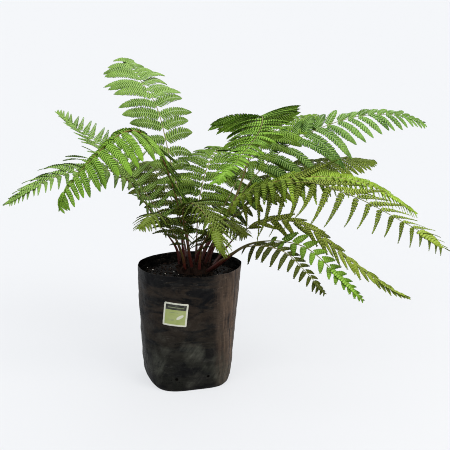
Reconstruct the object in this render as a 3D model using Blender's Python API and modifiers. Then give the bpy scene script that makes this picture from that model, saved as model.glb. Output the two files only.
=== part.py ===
"""A young potted tree fern in a black planter bag.

The bag stands on the plane z = 0 and the Z axis runs through the middle of its round mouth.
X runs to the right as seen from the labelled front, Y runs away from the viewer and Z is up.
All sizes are in metres. The fronds' ribs are routes of a few points in millimetres.
"""

import math
import random
from collections import namedtuple

import bmesh
import bpy
from mathutils import Matrix, Vector
from mathutils.bvhtree import BVHTree

MM = 0.001

# Planter bag
BAG_HEIGHT = 0.230
BAG_FILM = 0.0008
BAG_SIDES = 28
GAP = 0.0003
DRAIN_RADIUS = 0.003
DRAIN_REACH = 0.090
DRAIN_DEPTH = 0.050
# Each drain hole: its angle round the bag in degrees and its height
DRAIN_HOLES = (
    (-101, 0.027), (-60, 0.029), (-20, 0.014), (35, 0.014), (90, 0.014), (145, 0.014), (200, 0.014))

# One level of the bag: height, half width, half depth, squareness, turn in degrees and its middle
Level = namedtuple("Level", "z half_x half_y square turn mid_x mid_y")
BAG_LEVELS = (
    Level(0.000, 0.0700, 0.0735, 3.6, 17, -0.0085, -0.005),
    Level(0.005, 0.0755, 0.0785, 3.4, 17, -0.0080, -0.004),
    Level(0.016, 0.0805, 0.0835, 3.0, 15, -0.0075, -0.003),
    Level(0.045, 0.0865, 0.0885, 2.6, 12, -0.0062, -0.001),
    Level(0.110, 0.0922, 0.0920, 2.3, 6, -0.0048, 0.000),
    Level(0.170, 0.0970, 0.0955, 2.1, 2, -0.0022, 0.000),
    Level(BAG_HEIGHT, 0.0998, 0.0985, 2.0, 0, 0.000, 0.000),
)

# Label on the front of the bag
LABEL_SIZE = 0.045
LABEL_CENTRE = Vector((-0.0212, -0.09, 0.1565))
LABEL_TILT = 4
LABEL_THICKNESS = 0.0006
LABEL_CUT_DEPTH = 0.060

# Potting mix and crown
MIX_TOP = 0.212
MIX_MOUND = 0.005
MOUND_SHARE = 0.6
CROWN_CENTRE = Vector((0.010, 0.0, 0.0))
CROWN_SIDES = 14
CROWN_RADIUS = 0.037
CROWN_SUNK = 0.012
CROWN_TOP = 0.236
# The crown's outline from its foot to its top: share of its height above the mix, share of its radius
CROWN_OUTLINE = ((0.0, 0.97), (0.5, 0.86), (1.0, 0.55))
PIT_DEPTH = 0.040
FOOT_LENGTH = 0.036
FOOT_ROOM = 0.0004

# Frond stalks, ribs and leaflets
STALK_HALF_WIDTH = 0.0036
RIB_HALF_WIDTH = 0.0012
TIP_HALF_WIDTH = 0.0005
BLADE_THICKNESS = 0.0007
STALK_FADE = 1.5
STALK_STEPS = 4
ROUTE_STEPS = 24
HEADING_PULL = 0.35
ROLL_GROWS = 3
SPACING_TAPER = 1.3
LEAFLET_ROOT = 0.0032
LEAFLET_CLEARANCE = 0.0004
RIB_CLEARANCE = 0.0002
LONG_LEAFLET = 0.045
SHORT_LEAFLET = 0.024
WIDEST_LEAFLET = 0.0095
FOOT_LEAFLET = 0.38
TIP_LEAFLET = 0.14
SWING_FADE = 1.4
SEED = 100
LENGTH_SPREAD = 0.05
DROOP_SPREAD = 0.15
SWING_SPREAD = 3

# How the leaflets of one side leave the rib: the angle to it in degrees, how much they rise, how
# far they sink over their length, how far they turn about their own ribs in radians, how long they
# are for the frond's own length, how far they curl towards the frond's tip, and how much that angle
# closes and that turn changes from the foot of the blade to its tip
Side = namedtuple(
    "Side", "swing lift droop twist size curl closes wind", defaults=(0.0, 1.0, 0.08, 34, 0.0))

# A frond: its longest leaflet in millimetres, where that is along the blade, the power by which the
# leaflets shorten from there, its pairs of leaflets, the share of its stalk that is bare, the roll
# of its blade about the rib in degrees, its two sides as seen from its foot, and the route of its
# rib in millimetres
Frond = namedtuple("Frond", "name longest widest fade pairs bare roll left right route")
FRONDS = (
    Frond("frond_tall_rear", 88, 0.50, 1.6, 17, 0.26, 0,
          Side(72, 0.26, 0.46), Side(72, 0.26, 0.50),
          ((3, 14, 209), (-4, 26, 262), (-12, 40, 320), (-38, 76, 415), (-65, 125, 512),
           (-99, 185, 560), (-146, 285, 603))),
    Frond("frond_left_arch", 94, 0.45, 1.0, 17, 0.18, 0,
          Side(96, -0.30, 0.18, 0.2), Side(20, 0.12, 0.42, 1.2, 0.45),
          ((-8, -7, 209), (-12, -17, 262), (-22, -42, 365), (-56, -80, 470), (-102, -115, 505),
           (-160, -150, 465), (-212, -174, 405), (-220, -180, 378))),
    Frond("frond_left_long", 96, 0.35, 0.75, 17, 0.18, 0,
          Side(84, -0.34, 0.24, 0.0, 0.55), Side(36, 0.55, 0.38, 0.25, 1.0),
          ((-18, 3, 212), (-26, 0, 262), (-61, -18, 318), (-111, -40, 400), (-165, -65, 428),
           (-228, -95, 422), (-279, -115, 400), (-316, -130, 378))),
    Frond("frond_left_rear", 76, 0.40, 1.0, 15, 0.20, 0,
          Side(54, 0.10, 0.14, 0.0, 0.75), Side(80, 0.45, 0.10),
          ((-12, 13, 212), (-22, 20, 262), (-66, 54, 328), (-130, 95, 400), (-205, 130, 455),
           (-270, 150, 505))),
    Frond("frond_over_front", 108, 0.12, 0.48, 16, 0.46, 0,
          Side(92, 0.36, 0.16, -0.55, 0.96, 0.08),
          Side(84, 0.12, 0.36, 1.1, 1.00, 0.08, 34, -1.2),
          ((17, -2, 209), (32, 0, 262), (82, 4, 345), (112, 8, 430), (128, 0, 506),
           (137, -55, 521), (128, -110, 500), (98, -155, 468), (70, -190, 442), (55, -206, 430))),
    Frond("frond_right_long", 92, 0.35, 0.65, 17, 0.18, 10,
          Side(34, 0.40, 0.20, 0.4, 0.75), Side(76, 0.06, 0.60),
          ((28, 7, 211), (42, 14, 262), (100, 36, 360), (155, 80, 417), (234, 140, 463),
           (336, 200, 490), (425, 240, 490), (491, 265, 470))),
    Frond("frond_right_rear_high", 84, 0.35, 1.2, 13, 0.24, 0,
          Side(72, 0.22, 0.36), Side(78, 0.08, 0.52),
          ((21, 18, 211), (33, 30, 262), (105, 84, 400), (180, 160, 475), (260, 240, 490))),
    Frond("frond_right_rear_low", 84, 0.40, 0.9, 15, 0.20, 6,
          Side(68, 0.32, 0.52), Side(78, 0.12, 0.48),
          ((33, 18, 213), (50, 28, 262), (118, 62, 350), (219, 108, 400), (313, 150, 408),
           (373, 170, 404))),
    Frond("frond_right_bright", 104, 0.25, 0.6, 17, 0.18, 14,
          Side(50, 0.00, 0.14, 1.3, 1.1, 0.08, 16, -2.2),
          Side(112, -1.30, 0.00, 0.3, 1.0, -0.20, 96),
          ((27, -6, 211), (42, -12, 262), (116, -54, 368), (205, -130, 415), (289, -210, 405),
           (357, -285, 380), (394, -325, 364), (413, -345, 350))),
    Frond("frond_right_low", 48, 0.14, 1.0, 15, 0.16, 0,
          Side(30, 0.10, 0.10, 1.1, 0.95), Side(44, -0.22, 0.24),
          ((39, 2, 219), (96, 14, 286), (162, 6, 315), (229, -12, 304), (311, -22, 240),
           (382, -28, 191), (421, -32, 172))),
    Frond("frond_right_front_upper", 42, 0.10, 1.0, 12, 0.38, 0,
          Side(56, 0.60, 0.10, 1.3, 0.80), Side(66, -0.30, 0.28, 0.0, 0.8),
          ((39, -14, 219), (118, -48, 282), (205, -115, 296), (268, -160, 254),
           (312, -190, 214))),
    Frond("frond_right_front_lower", 44, 0.14, 1.0, 12, 0.32, 0,
          Side(66, 0.30, 0.20, 0.9, 0.7), Side(84, -0.45, 0.20),
          ((31, -21, 219), (104, -70, 280), (170, -122, 288), (214, -155, 256),
           (246, -175, 222))),
    Frond("frond_front_low", 96, 0.36, 0.60, 15, 0.28, 0,
          Side(62, 0.00, 0.30, 0.1, 1.0), Side(60, 0.02, 0.44, 0.5, 0.45),
          ((8, -17, 210), (0, -34, 262), (-10, -62, 340), (4, -105, 372), (30, -150, 365),
           (50, -190, 338), (60, -212, 310))),
    Frond("frond_front_left", 54, 0.25, 1.2, 12, 0.30, 0,
          Side(80, 0.00, 0.40), Side(76, 0.10, 0.44),
          ((-6, -18, 210), (-14, -38, 262), (-34, -72, 325), (-58, -112, 352), (-84, -150, 336))),
    Frond("frond_rear", 90, 0.40, 0.9, 13, 0.18, 0,
          Side(70, 0.22, 0.46, 0.3), Side(82, 0.04, 0.34, -0.3),
          ((11, 24, 210), (16, 62, 328), (32, 126, 396), (56, 200, 424), (78, 262, 412))),
    Frond("frond_rear_left", 80, 0.40, 1.2, 12, 0.18, 0,
          Side(76, 0.10, 0.38), Side(76, 0.18, 0.36),
          ((-6, 23, 211), (-12, 44, 262), (-38, 92, 338), (-86, 170, 392), (-150, 250, 380))),
    Frond("frond_inner_right", 56, 0.20, 1.2, 11, 0.26, 0,
          Side(70, 0.16, 0.40), Side(80, -0.10, 0.40),
          ((18, -23, 213), (24, -40, 268), (44, -72, 318), (76, -100, 334), (108, -128, 318))),
    Frond("frond_right_inner", 48, 0.40, 0.50, 17, 0.24, 0,
          Side(60, 0.25, 0.10, 0.9, 0.85), Side(70, -0.10, 0.55, -1.2, 1.3),
          ((8, 3, 210), (20, -12, 262), (60, -30, 322), (108, -46, 378), (176, -80, 410),
           (257, -112, 421), (319, -135, 413), (363, -148, 392), (404, -156, 365))),
)

# Ways to bend a leaflet clear of what it would cross: more droop, more swing in degrees, length
BENDS = (
    (0.0, 0, 1.0), (0.10, 0, 1.0), (-0.10, 0, 1.0), (0.0, 7, 1.0), (0.0, -7, 1.0),
    (0.20, 4, 0.97), (-0.20, -4, 0.97), (0.20, -8, 0.95), (-0.20, 8, 0.95),
    (0.32, 0, 0.92), (-0.32, 0, 0.92), (0.0, 14, 0.88), (0.0, -14, 0.88),
    (0.10, 0, 0.75), (-0.15, 0, 0.75), (0.25, 10, 0.7), (-0.25, -10, 0.7),
    (0.0, 0, 0.55), (0.20, 0, 0.5), (-0.20, 0, 0.5), (0.0, 0, 0.38), (0.0, 0, 0.28),
)


def clear_scene():
    """Remove every object that the scene holds."""
    for obj in list(bpy.data.objects):
        bpy.data.objects.remove(obj)


def make_collection(name):
    """Return a new collection linked to the scene."""
    collection = bpy.data.collections.new(name)
    bpy.context.scene.collection.children.link(collection)
    return collection


def make_material(name, colour, roughness):
    """Return a plain non-metallic material."""
    material = bpy.data.materials.new(name)
    material.use_nodes = True
    shader = material.node_tree.nodes["Principled BSDF"]
    shader.inputs["Base Color"].default_value = (*colour, 1.0)
    shader.inputs["Roughness"].default_value = roughness
    shader.inputs["Metallic"].default_value = 0.0
    return material


def make_object(name, bm, collection, material):
    """Turn a bmesh into an object of the collection."""
    mesh = bpy.data.meshes.new(name)
    bm.to_mesh(mesh)
    bm.free()
    obj = bpy.data.objects.new(name, mesh)
    collection.objects.link(obj)
    mesh.materials.append(material)
    return obj


def make_cutter(name, bm, collection):
    """Turn a bmesh into a hidden cutter."""
    obj = make_object(name, bm, collection, MATERIALS["cutter"])
    obj.hide_render = True
    obj.display_type = "WIRE"
    return obj


def add_cut(obj, cutter, operation="DIFFERENCE"):
    """Add an exact Boolean modifier."""
    cut = obj.modifiers.new(cutter.name, "BOOLEAN")
    cut.operation = operation
    cut.solver = "EXACT"
    cut.object = cutter


def bag_level(z):
    """The bag's outside at any height, between the two nearest levels."""
    for low, high in zip(BAG_LEVELS, BAG_LEVELS[1:]):
        if z <= high.z:
            break
    share = min(max((z - low.z) / (high.z - low.z), 0.0), 1.0)
    return Level(*(a + (b - a) * share for a, b in zip(low, high)))


def bag_ring(bm, z, inset):
    """Add one ring of vertices round the bag, set in from its outside."""
    level = bag_level(z)
    turn = math.radians(level.turn)
    ring = []
    for i in range(BAG_SIDES):
        angle = 2 * math.pi * (i + 0.5) / BAG_SIDES
        c, s = math.cos(angle - turn), math.sin(angle - turn)
        radius = (abs(c) ** level.square + abs(s) ** level.square) ** (-1 / level.square)
        x = (level.half_x - inset) * radius * c
        y = (level.half_y - inset) * radius * s
        place = Matrix.Rotation(turn, 2) @ Vector((x, y))
        ring.append(bm.verts.new((level.mid_x + place.x, level.mid_y + place.y, z)))
    return ring


def join_rings(bm, rings):
    """Join rings of vertices with bands of triangles.

    The split always runs from the lower ring forward to the higher one, so that walls which follow
    each other closely are split alike.
    """
    for first, second in zip(rings, rings[1:]):
        low, high = (first, second) if first[0].co.z <= second[0].co.z else (second, first)
        for i in range(len(low)):
            j = (i + 1) % len(low)
            bm.faces.new((low[i], low[j], high[j]))
            bm.faces.new((low[i], high[j], high[i]))


def build_bag(parts, cutters):
    """The film bag: an open shell of stacked rings with drain holes near its foot."""
    bm = bmesh.new()
    outer = [bag_ring(bm, level.z, 0.0) for level in BAG_LEVELS]
    inner_heights = [BAG_FILM] + [level.z for level in BAG_LEVELS[1:]]
    inner = [bag_ring(bm, z, BAG_FILM) for z in inner_heights]
    join_rings(bm, outer + inner[::-1])
    bm.faces.new(outer[0][::-1])
    bm.faces.new(inner[0])
    bmesh.ops.recalc_face_normals(bm, faces=bm.faces)
    bag = make_object("planter_bag", bm, parts, MATERIALS["film"])
    holes = bmesh.new()
    for angle, height in DRAIN_HOLES:
        turn = Matrix.Rotation(math.radians(angle), 4, "Z")
        lie = Matrix.Rotation(math.radians(90), 4, "Y")
        place = turn @ Matrix.Translation((DRAIN_REACH, 0, height)) @ lie
        bmesh.ops.create_cone(
            holes, cap_ends=True, segments=6, radius1=DRAIN_RADIUS, radius2=DRAIN_RADIUS,
            depth=DRAIN_DEPTH, matrix=place)
    cutter = make_cutter("drain_holes", holes, cutters)
    add_cut(bag, cutter)
    return bag


def build_mix(parts, cutters):
    """The potting mix: it fills the bag, mounds a little and has a plain pit for the crown."""
    bm = bmesh.new()
    inset = BAG_FILM + GAP
    heights = [BAG_FILM + GAP] + [level.z for level in BAG_LEVELS[1:-1]] + [MIX_TOP]
    rings = [bag_ring(bm, z, inset) for z in heights]
    mound = []
    for vertex in rings[-1]:
        place = (vertex.co.x * MOUND_SHARE, vertex.co.y * MOUND_SHARE, MIX_TOP + MIX_MOUND)
        mound.append(bm.verts.new(place))
    rings.append(mound)
    join_rings(bm, rings)
    bm.faces.new(rings[0][::-1])
    bm.faces.new(rings[-1])
    bmesh.ops.recalc_face_normals(bm, faces=bm.faces)
    mix = make_object("potting_mix", bm, parts, MATERIALS["mix"])
    pit = bmesh.new()
    radius = CROWN_RADIUS + GAP
    floor = MIX_TOP - CROWN_SUNK - GAP
    place = Matrix.Translation((CROWN_CENTRE.x, CROWN_CENTRE.y, floor + PIT_DEPTH / 2))
    bmesh.ops.create_cone(
        pit, cap_ends=True, segments=CROWN_SIDES, radius1=radius, radius2=radius,
        depth=PIT_DEPTH, matrix=place)
    add_cut(mix, make_cutter("crown_pit", pit, cutters))
    return mix


def crown_ring(bm, z, radius):
    """Add one ring of vertices round the crown."""
    ring = []
    for i in range(CROWN_SIDES):
        angle = 2 * math.pi * i / CROWN_SIDES
        x = CROWN_CENTRE.x + radius * math.cos(angle)
        y = CROWN_CENTRE.y + radius * math.sin(angle)
        ring.append(bm.verts.new((x, y, z)))
    return ring


def build_crown(parts, cutters):
    """The crown: a low dome set in the mix, with a hole for the foot of each frond."""
    bm = bmesh.new()
    shoulder = MIX_TOP + MIX_MOUND
    rings = [crown_ring(bm, MIX_TOP - CROWN_SUNK, CROWN_RADIUS * CROWN_OUTLINE[0][1])]
    for height, width in CROWN_OUTLINE:
        z = shoulder + (CROWN_TOP - shoulder) * height
        rings.append(crown_ring(bm, z, CROWN_RADIUS * width))
    join_rings(bm, rings)
    bm.faces.new(rings[0][::-1])
    bm.faces.new(rings[-1])
    bmesh.ops.recalc_face_normals(bm, faces=bm.faces)
    crown = make_object("crown", bm, parts, MATERIALS["fibre"])
    feet = bmesh.new()
    for frond in FRONDS:
        add_foot_hole(feet, frond)
    bmesh.ops.recalc_face_normals(feet, faces=feet.faces)
    add_cut(crown, make_cutter("frond_holes", feet, cutters))
    return crown


def add_foot_hole(bm, frond):
    """Add a four-sided prism round a frond's foot, a little larger than the stalk."""
    path = rib_path(frond)
    rings = []
    for share, extra in ((0.0, -GAP), (FOOT_LENGTH / path.length, GAP)):
        side, normal = path.frame(share)
        reach = rib_half_width(frond, share) + FOOT_ROOM
        corners = ((-reach, -reach), (reach, -reach), (reach, reach), (-reach, reach))
        centre = path.point(share) + path.tangent(share) * extra
        rings.append([bm.verts.new(centre + side * a + normal * b) for a, b in corners])
    join_rings(bm, rings)
    bm.faces.new(rings[0][::-1])
    bm.faces.new(rings[1])


def build_label(parts, cutters):
    """The label: a thin patch of film that follows the bag's front, cut to a square."""
    bm = bmesh.new()
    outer = [bag_ring(bm, level.z, -GAP - LABEL_THICKNESS) for level in BAG_LEVELS[4:]]
    inner = [bag_ring(bm, level.z, -GAP) for level in BAG_LEVELS[4:]]
    join_rings(bm, outer + inner[::-1])
    join_rings(bm, [inner[0], outer[0]])
    bmesh.ops.recalc_face_normals(bm, faces=bm.faces)
    label = make_object("plant_label", bm, parts, MATERIALS["label"])
    square = bmesh.new()
    size = Matrix.Diagonal((LABEL_SIZE, LABEL_CUT_DEPTH, LABEL_SIZE, 1.0))
    tilt = Matrix.Rotation(math.radians(LABEL_TILT), 4, "Y")
    bmesh.ops.create_cube(square, size=1.0, matrix=Matrix.Translation(LABEL_CENTRE) @ tilt @ size)
    add_cut(label, make_cutter("label_square", square, cutters), "INTERSECT")
    return label


class RibPath:
    """A smooth curve through a frond's route, read by the share of its length."""

    def __init__(self, points, roll):
        self.roll = math.radians(roll)
        ends = [points[0] * 2 - points[1]] + list(points) + [points[-1] * 2 - points[-2]]
        self.points = [points[0]]
        for a, b, c, d in zip(ends, ends[1:], ends[2:], ends[3:]):
            for i in range(1, ROUTE_STEPS + 1):
                self.points.append(self.blend(a, b, c, d, i / ROUTE_STEPS))
        self.lengths = [0.0]
        for low, high in zip(self.points, self.points[1:]):
            self.lengths.append(self.lengths[-1] + (high - low).length)
        self.length = self.lengths[-1]
        across = points[-1] - points[0]
        self.heading = Vector((across.x, across.y, 0)).normalized()

    @staticmethod
    def blend(a, b, c, d, t):
        """Return a point between b and c on a Catmull-Rom curve."""
        return 0.5 * (
            2 * b + (c - a) * t + (2 * a - 5 * b + 4 * c - d) * t ** 2
            + (3 * b - a - 3 * c + d) * t ** 3)

    def point(self, share):
        """Return the point at a share of the length."""
        want = min(max(share, 0.0), 1.0) * self.length
        for i in range(1, len(self.lengths)):
            if self.lengths[i] >= want:
                break
        run = self.lengths[i] - self.lengths[i - 1]
        return self.points[i - 1].lerp(self.points[i], (want - self.lengths[i - 1]) / run)

    def tangent(self, share):
        """Return the direction of the curve."""
        low, high = max(share - 0.01, 0.0), min(share + 0.01, 1.0)
        return (self.point(high) - self.point(low)).normalized()

    def frame(self, share):
        """Return the blade's sideways direction and its normal."""
        tangent = self.tangent(share)
        level = Vector((tangent.x, tangent.y, 0)) + self.heading * HEADING_PULL
        side = Vector((level.y, -level.x, 0))
        side = (side - tangent * side.dot(tangent)).normalized()
        normal = side.cross(tangent).normalized()
        turn = Matrix.Rotation(self.roll * min(share * ROLL_GROWS, 1.0), 3, tangent)
        return turn @ side, turn @ normal


def rib_path(frond):
    """Return the rib's curve in metres."""
    return RibPath([Vector(point) * MM for point in frond.route], frond.roll)


def rib_half_width(frond, share):
    """Half the width of a frond's stalk or rib at a share of its length."""
    if share < frond.bare:
        fade = (share / frond.bare) ** STALK_FADE
        return STALK_HALF_WIDTH + (RIB_HALF_WIDTH - STALK_HALF_WIDTH) * fade
    fade = (share - frond.bare) / (1 - frond.bare)
    return RIB_HALF_WIDTH + (TIP_HALF_WIDTH - RIB_HALF_WIDTH) * fade


def pair_share(frond, number):
    """Where a pair of leaflets sits along the rib. Pairs draw closer towards the tip."""
    left = 1 - (number + 0.5) / frond.pairs
    return 1 - (1 - frond.bare) * left ** SPACING_TAPER


def stalk_shares(frond, path):
    """Where the bare stalk has its stations: its foot, the top of its straight end and on upwards."""
    first_root = pair_share(frond, 0) - LEAFLET_ROOT / path.length
    foot = FOOT_LENGTH / path.length
    steps = [foot + (first_root - foot) * i / STALK_STEPS for i in range(STALK_STEPS)]
    return [0.0] + steps


def root_shares(frond, path, number):
    """The two ends, along the rib, of the roots of a pair of leaflets."""
    share = pair_share(frond, number)
    half_root = LEAFLET_ROOT / 2 / path.length
    return share - half_root, share + half_root


def leaflet_length(frond, number):
    """Length of a leaflet: short at the blade's foot, longest where the blade is widest."""
    along = number / (frond.pairs - 1)
    if along < frond.widest:
        share = FOOT_LEAFLET + (1 - FOOT_LEAFLET) * math.sin(math.pi / 2 * along / frond.widest)
    else:
        share = 1 - (1 - TIP_LEAFLET) * ((along - frond.widest) / (1 - frond.widest)) ** frond.fade
    return frond.longest * MM * share


def leaflet_outline(length):
    """Stations of a leaflet's edge as (share of its length, half width) and its tip.

    Long leaflets have two teeth on each side and short ones have one or none.
    """
    widest = min(WIDEST_LEAFLET, 0.028 * length ** 0.5 + 0.001)
    if length > LONG_LEAFLET:
        return ((0.22, widest), (0.42, widest * 0.42), (0.62, widest * 0.68))
    if length > SHORT_LEAFLET:
        return ((0.30, widest * 0.85), (0.62, widest * 0.35))
    return ((0.42, widest * 0.55),)


def leaflet_points(path, share, hand, length, side):
    """Return the leaflet's edge points as pairs (towards the foot, towards the tip) and its tip.

    The rib of the leaflet leaves the frond at an angle, rises, sinks as the square of its length
    and curls towards the frond's tip at its end, while its blade turns about it.
    """
    start = path.point(share)
    tangent = path.tangent(share)
    outward, normal = path.frame(share)
    angle = math.radians(side.swing)
    straight = tangent * math.cos(angle) + outward * (hand * math.sin(angle)) + normal * side.lift
    straight.normalize()
    down = Vector((0, 0, -1))

    def rib(s):
        return start + (straight * s + down * side.droop * s ** 2 + tangent * side.curl * s ** 3) * length

    pairs = []
    for s, half_width in leaflet_outline(length):
        way = straight + down * (2 * side.droop * s) + tangent * (3 * side.curl * s ** 2)
        way.normalize()
        flat = (tangent - way * tangent.dot(way)).normalized()
        turn = side.twist * math.sqrt(s)
        across = flat * math.cos(turn) + way.cross(flat) * math.sin(turn)
        pairs.append((rib(s) - across * half_width, rib(s) + across * half_width))
    return pairs, rib(1.0)


def leaflet_triangles(roots, pairs, tip):
    """Return the leaflet's flat triangles between its two root points and its tip."""
    triangles = []
    last = roots
    for pair in pairs:
        triangles.append((last[0], pair[0], last[1]))
        triangles.append((last[1], pair[0], pair[1]))
        last = pair
    triangles.append((last[0], tip, last[1]))
    return triangles


def prisms(triangles, roots, root_reach, reach, spare):
    """Return closed prisms of a leaflet's triangles, larger by spare, for crossing tests.

    A leaflet is thicker at its two root points.
    """
    faces = []
    for corners in triangles:
        a, b, c = corners
        middle = (a + b + c) / 3
        normal = (b - a).cross(c - a).normalized()
        top, bottom = [], []
        for corner in corners:
            lift = normal * ((root_reach if corner in roots else reach) + spare)
            wide = corner + (corner - middle).normalized() * spare
            top.append(wide + lift)
            bottom.append(wide - lift)
        faces += [tuple(top), tuple(bottom)]
        for i in range(3):
            j = (i + 1) % 3
            faces += [(top[i], top[j], bottom[j]), (top[i], bottom[j], bottom[i])]
    return faces


def tree_of(triangles):
    """Return a search tree of loose triangles."""
    points = [corner for triangle in triangles for corner in triangle]
    faces = [(3 * i, 3 * i + 1, 3 * i + 2) for i in range(len(triangles))]
    return BVHTree.FromPolygons(points, faces)


def rib_triangles(frond, path, spare):
    """Return the four walls of a frond's stalk and rib, made wider by spare."""
    shares = stalk_shares(frond, path)
    for number in range(frond.pairs):
        shares += root_shares(frond, path, number)
    shares.append(1.0)
    triangles = []
    rings = []
    for share in shares:
        side, normal = path.frame(share)
        reach = rib_half_width(frond, share) + spare
        centre = path.point(share)
        corners = ((-reach, -reach), (reach, -reach), (reach, reach), (-reach, reach))
        rings.append([centre + side * a + normal * b for a, b in corners])
    for low, high in zip(rings, rings[1:]):
        for i in range(4):
            j = (i + 1) % 4
            triangles.append((low[i], low[j], high[j]))
            triangles.append((low[i], high[j], high[i]))
    return triangles


def object_tree(obj):
    """Return a search tree of an object as the viewport evaluates it."""
    graph = bpy.context.evaluated_depsgraph_get()
    return BVHTree.FromObject(obj, graph)


def place_leaflet(path, share, hand, roots, length, side, rib_reach, obstacles):
    """Find the first bend of a leaflet that crosses nothing.

    Returns its edge pairs, its tip and its two faces, or None where every bend crosses something.
    """
    for more_droop, more_swing, scale in BENDS:
        bent = side._replace(droop=side.droop + more_droop, swing=side.swing + more_swing)
        pairs, tip = leaflet_points(path, share, hand, length * scale, bent)
        triangles = leaflet_triangles(roots, pairs, tip)
        thin = BLADE_THICKNESS / 2
        tested = tree_of(prisms(triangles, roots, rib_reach, thin, LEAFLET_CLEARANCE))
        if not any(tested.overlap(tree) for tree in obstacles):
            return pairs, tip, prisms(triangles, roots, rib_reach, thin, 0)
    return None


def build_frond(frond, index, ribs, standing, parts):
    """One frond: a strip along the rib with toothed leaflets, thickened by Solidify.

    ribs maps a frond's name to its rib's tree and standing lists the trees of all else that a
    leaflet must stay clear of. The tree of this frond's own leaflets is added to standing.
    """
    draw = random.Random(SEED + index)
    path = rib_path(frond)
    bm = bmesh.new()
    group = bm.verts.layers.deform.verify()
    full = 2 * STALK_HALF_WIDTH

    def add(place, thickness):
        vertex = bm.verts.new(place)
        vertex[group][0] = thickness / full
        return vertex

    def add_station(share):
        side, _ = path.frame(share)
        reach = rib_half_width(frond, share)
        centre = path.point(share)
        return [add(centre - side * reach, 2 * reach), add(centre + side * reach, 2 * reach)]

    def add_strip(low, high):
        bm.faces.new((low[0], low[1], high[1]))
        bm.faces.new((low[0], high[1], high[0]))

    others = [tree for name, tree in ribs.items() if name != frond.name] + standing
    own = []
    stalk = [add_station(share) for share in stalk_shares(frond, path)]
    for low, high in zip(stalk, stalk[1:]):
        add_strip(low, high)
    last = stalk[-1]
    for number in range(frond.pairs):
        share = pair_share(frond, number)
        low, high = [add_station(end) for end in root_shares(frond, path, number)]
        add_strip(last, low)
        add_strip(low, high)
        last = high
        along = number / frond.pairs
        closed = along ** SWING_FADE
        for hand, edge, side in ((-1, 0, frond.left), (1, 1, frond.right)):
            spread = 1 + draw.uniform(-LENGTH_SPREAD, LENGTH_SPREAD)
            length = leaflet_length(frond, number) * side.size * spread
            side = side._replace(
                swing=side.swing - side.closes * closed + draw.uniform(-SWING_SPREAD, SWING_SPREAD),
                droop=side.droop * (1 + draw.uniform(-DROOP_SPREAD, DROOP_SPREAD)),
                curl=side.curl * (1 - closed),
                twist=side.twist + side.wind * along)
            obstacles = others + [tree_of(own)] if own else others
            reach = rib_half_width(frond, share)
            roots = (low[edge].co.copy(), high[edge].co.copy())
            found = place_leaflet(path, share, hand, roots, length, side, reach, obstacles)
            if found is None:
                continue
            pairs, tip, faces = found
            own += faces
            rows = [tuple(add(place, BLADE_THICKNESS) for place in pair) for pair in pairs]
            point = add(tip, BLADE_THICKNESS)
            for corners in leaflet_triangles((low[edge], high[edge]), rows, point):
                bm.faces.new(corners if hand > 0 else corners[::-1])
    end = add(path.point(1.0), BLADE_THICKNESS)
    bm.faces.new((last[0], last[1], end))
    standing.append(tree_of(own))
    obj = make_object(frond.name, bm, parts, MATERIALS["leaf"])
    obj.vertex_groups.new(name="thickness")
    wall = obj.modifiers.new("thickness", "SOLIDIFY")
    wall.thickness = full
    wall.offset = 0.0
    wall.use_even_offset = False
    wall.vertex_group = "thickness"
    return obj


def build_fronds(parts, standing):
    """Every frond in turn, each bent clear of the ribs and of the leaflets before it."""
    ribs = {}
    for frond in FRONDS:
        ribs[frond.name] = tree_of(rib_triangles(frond, rib_path(frond), RIB_CLEARANCE))
    for index, frond in enumerate(FRONDS):
        build_frond(frond, index, ribs, standing, parts)


def main():
    """Build the bag, its mix and label, and the plant."""
    parts = make_collection("potted_tree_fern")
    cutters = make_collection("cutters")
    bag = build_bag(parts, cutters)
    mix = build_mix(parts, cutters)
    crown = build_crown(parts, cutters)
    build_label(parts, cutters)
    standing = [object_tree(obj) for obj in (bag, mix, crown)]
    build_fronds(parts, standing)


clear_scene()
MATERIALS = {
    "film": make_material("black_film", (0.012, 0.011, 0.010), 0.3),
    "mix": make_material("potting_mix", (0.02, 0.014, 0.01), 0.9),
    "fibre": make_material("crown_fibre", (0.05, 0.02, 0.012), 0.8),
    "label": make_material("label_paper", (0.42, 0.47, 0.24), 0.5),
    "leaf": make_material("frond_green", (0.12, 0.30, 0.05), 0.5),
    "cutter": make_material("cutter", (0.5, 0.5, 0.5), 0.5),
}
main()
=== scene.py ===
"""The looks of a young potted tree fern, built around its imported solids.

Everything is in metres and in the solids' own frame: the bag stands on z = 0 and the Z axis runs
through the middle of its round mouth. The fronds' ribs are routes of a few points in millimetres.
"""

import math
import random
from collections import namedtuple

import bmesh
import bpy
import numpy as np
from mathutils import Matrix, Vector, noise


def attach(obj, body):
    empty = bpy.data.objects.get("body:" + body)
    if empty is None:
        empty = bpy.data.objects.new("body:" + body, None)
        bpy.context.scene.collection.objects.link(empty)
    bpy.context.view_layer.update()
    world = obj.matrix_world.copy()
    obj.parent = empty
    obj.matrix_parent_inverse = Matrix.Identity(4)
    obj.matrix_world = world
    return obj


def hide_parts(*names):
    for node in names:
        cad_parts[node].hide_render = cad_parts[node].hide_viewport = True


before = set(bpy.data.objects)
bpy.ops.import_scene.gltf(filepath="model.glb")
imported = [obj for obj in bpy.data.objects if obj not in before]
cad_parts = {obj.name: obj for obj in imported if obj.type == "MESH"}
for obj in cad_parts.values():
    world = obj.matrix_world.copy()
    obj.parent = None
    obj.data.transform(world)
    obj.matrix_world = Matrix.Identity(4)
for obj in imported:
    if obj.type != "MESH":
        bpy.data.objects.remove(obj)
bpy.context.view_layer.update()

MM = 0.001
UP = Vector((0, 0, 1))
ORIGIN = (0, 0, 0)
BLACK = (0, 0, 0, 1)
WHITE = (1, 1, 1, 1)
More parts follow.
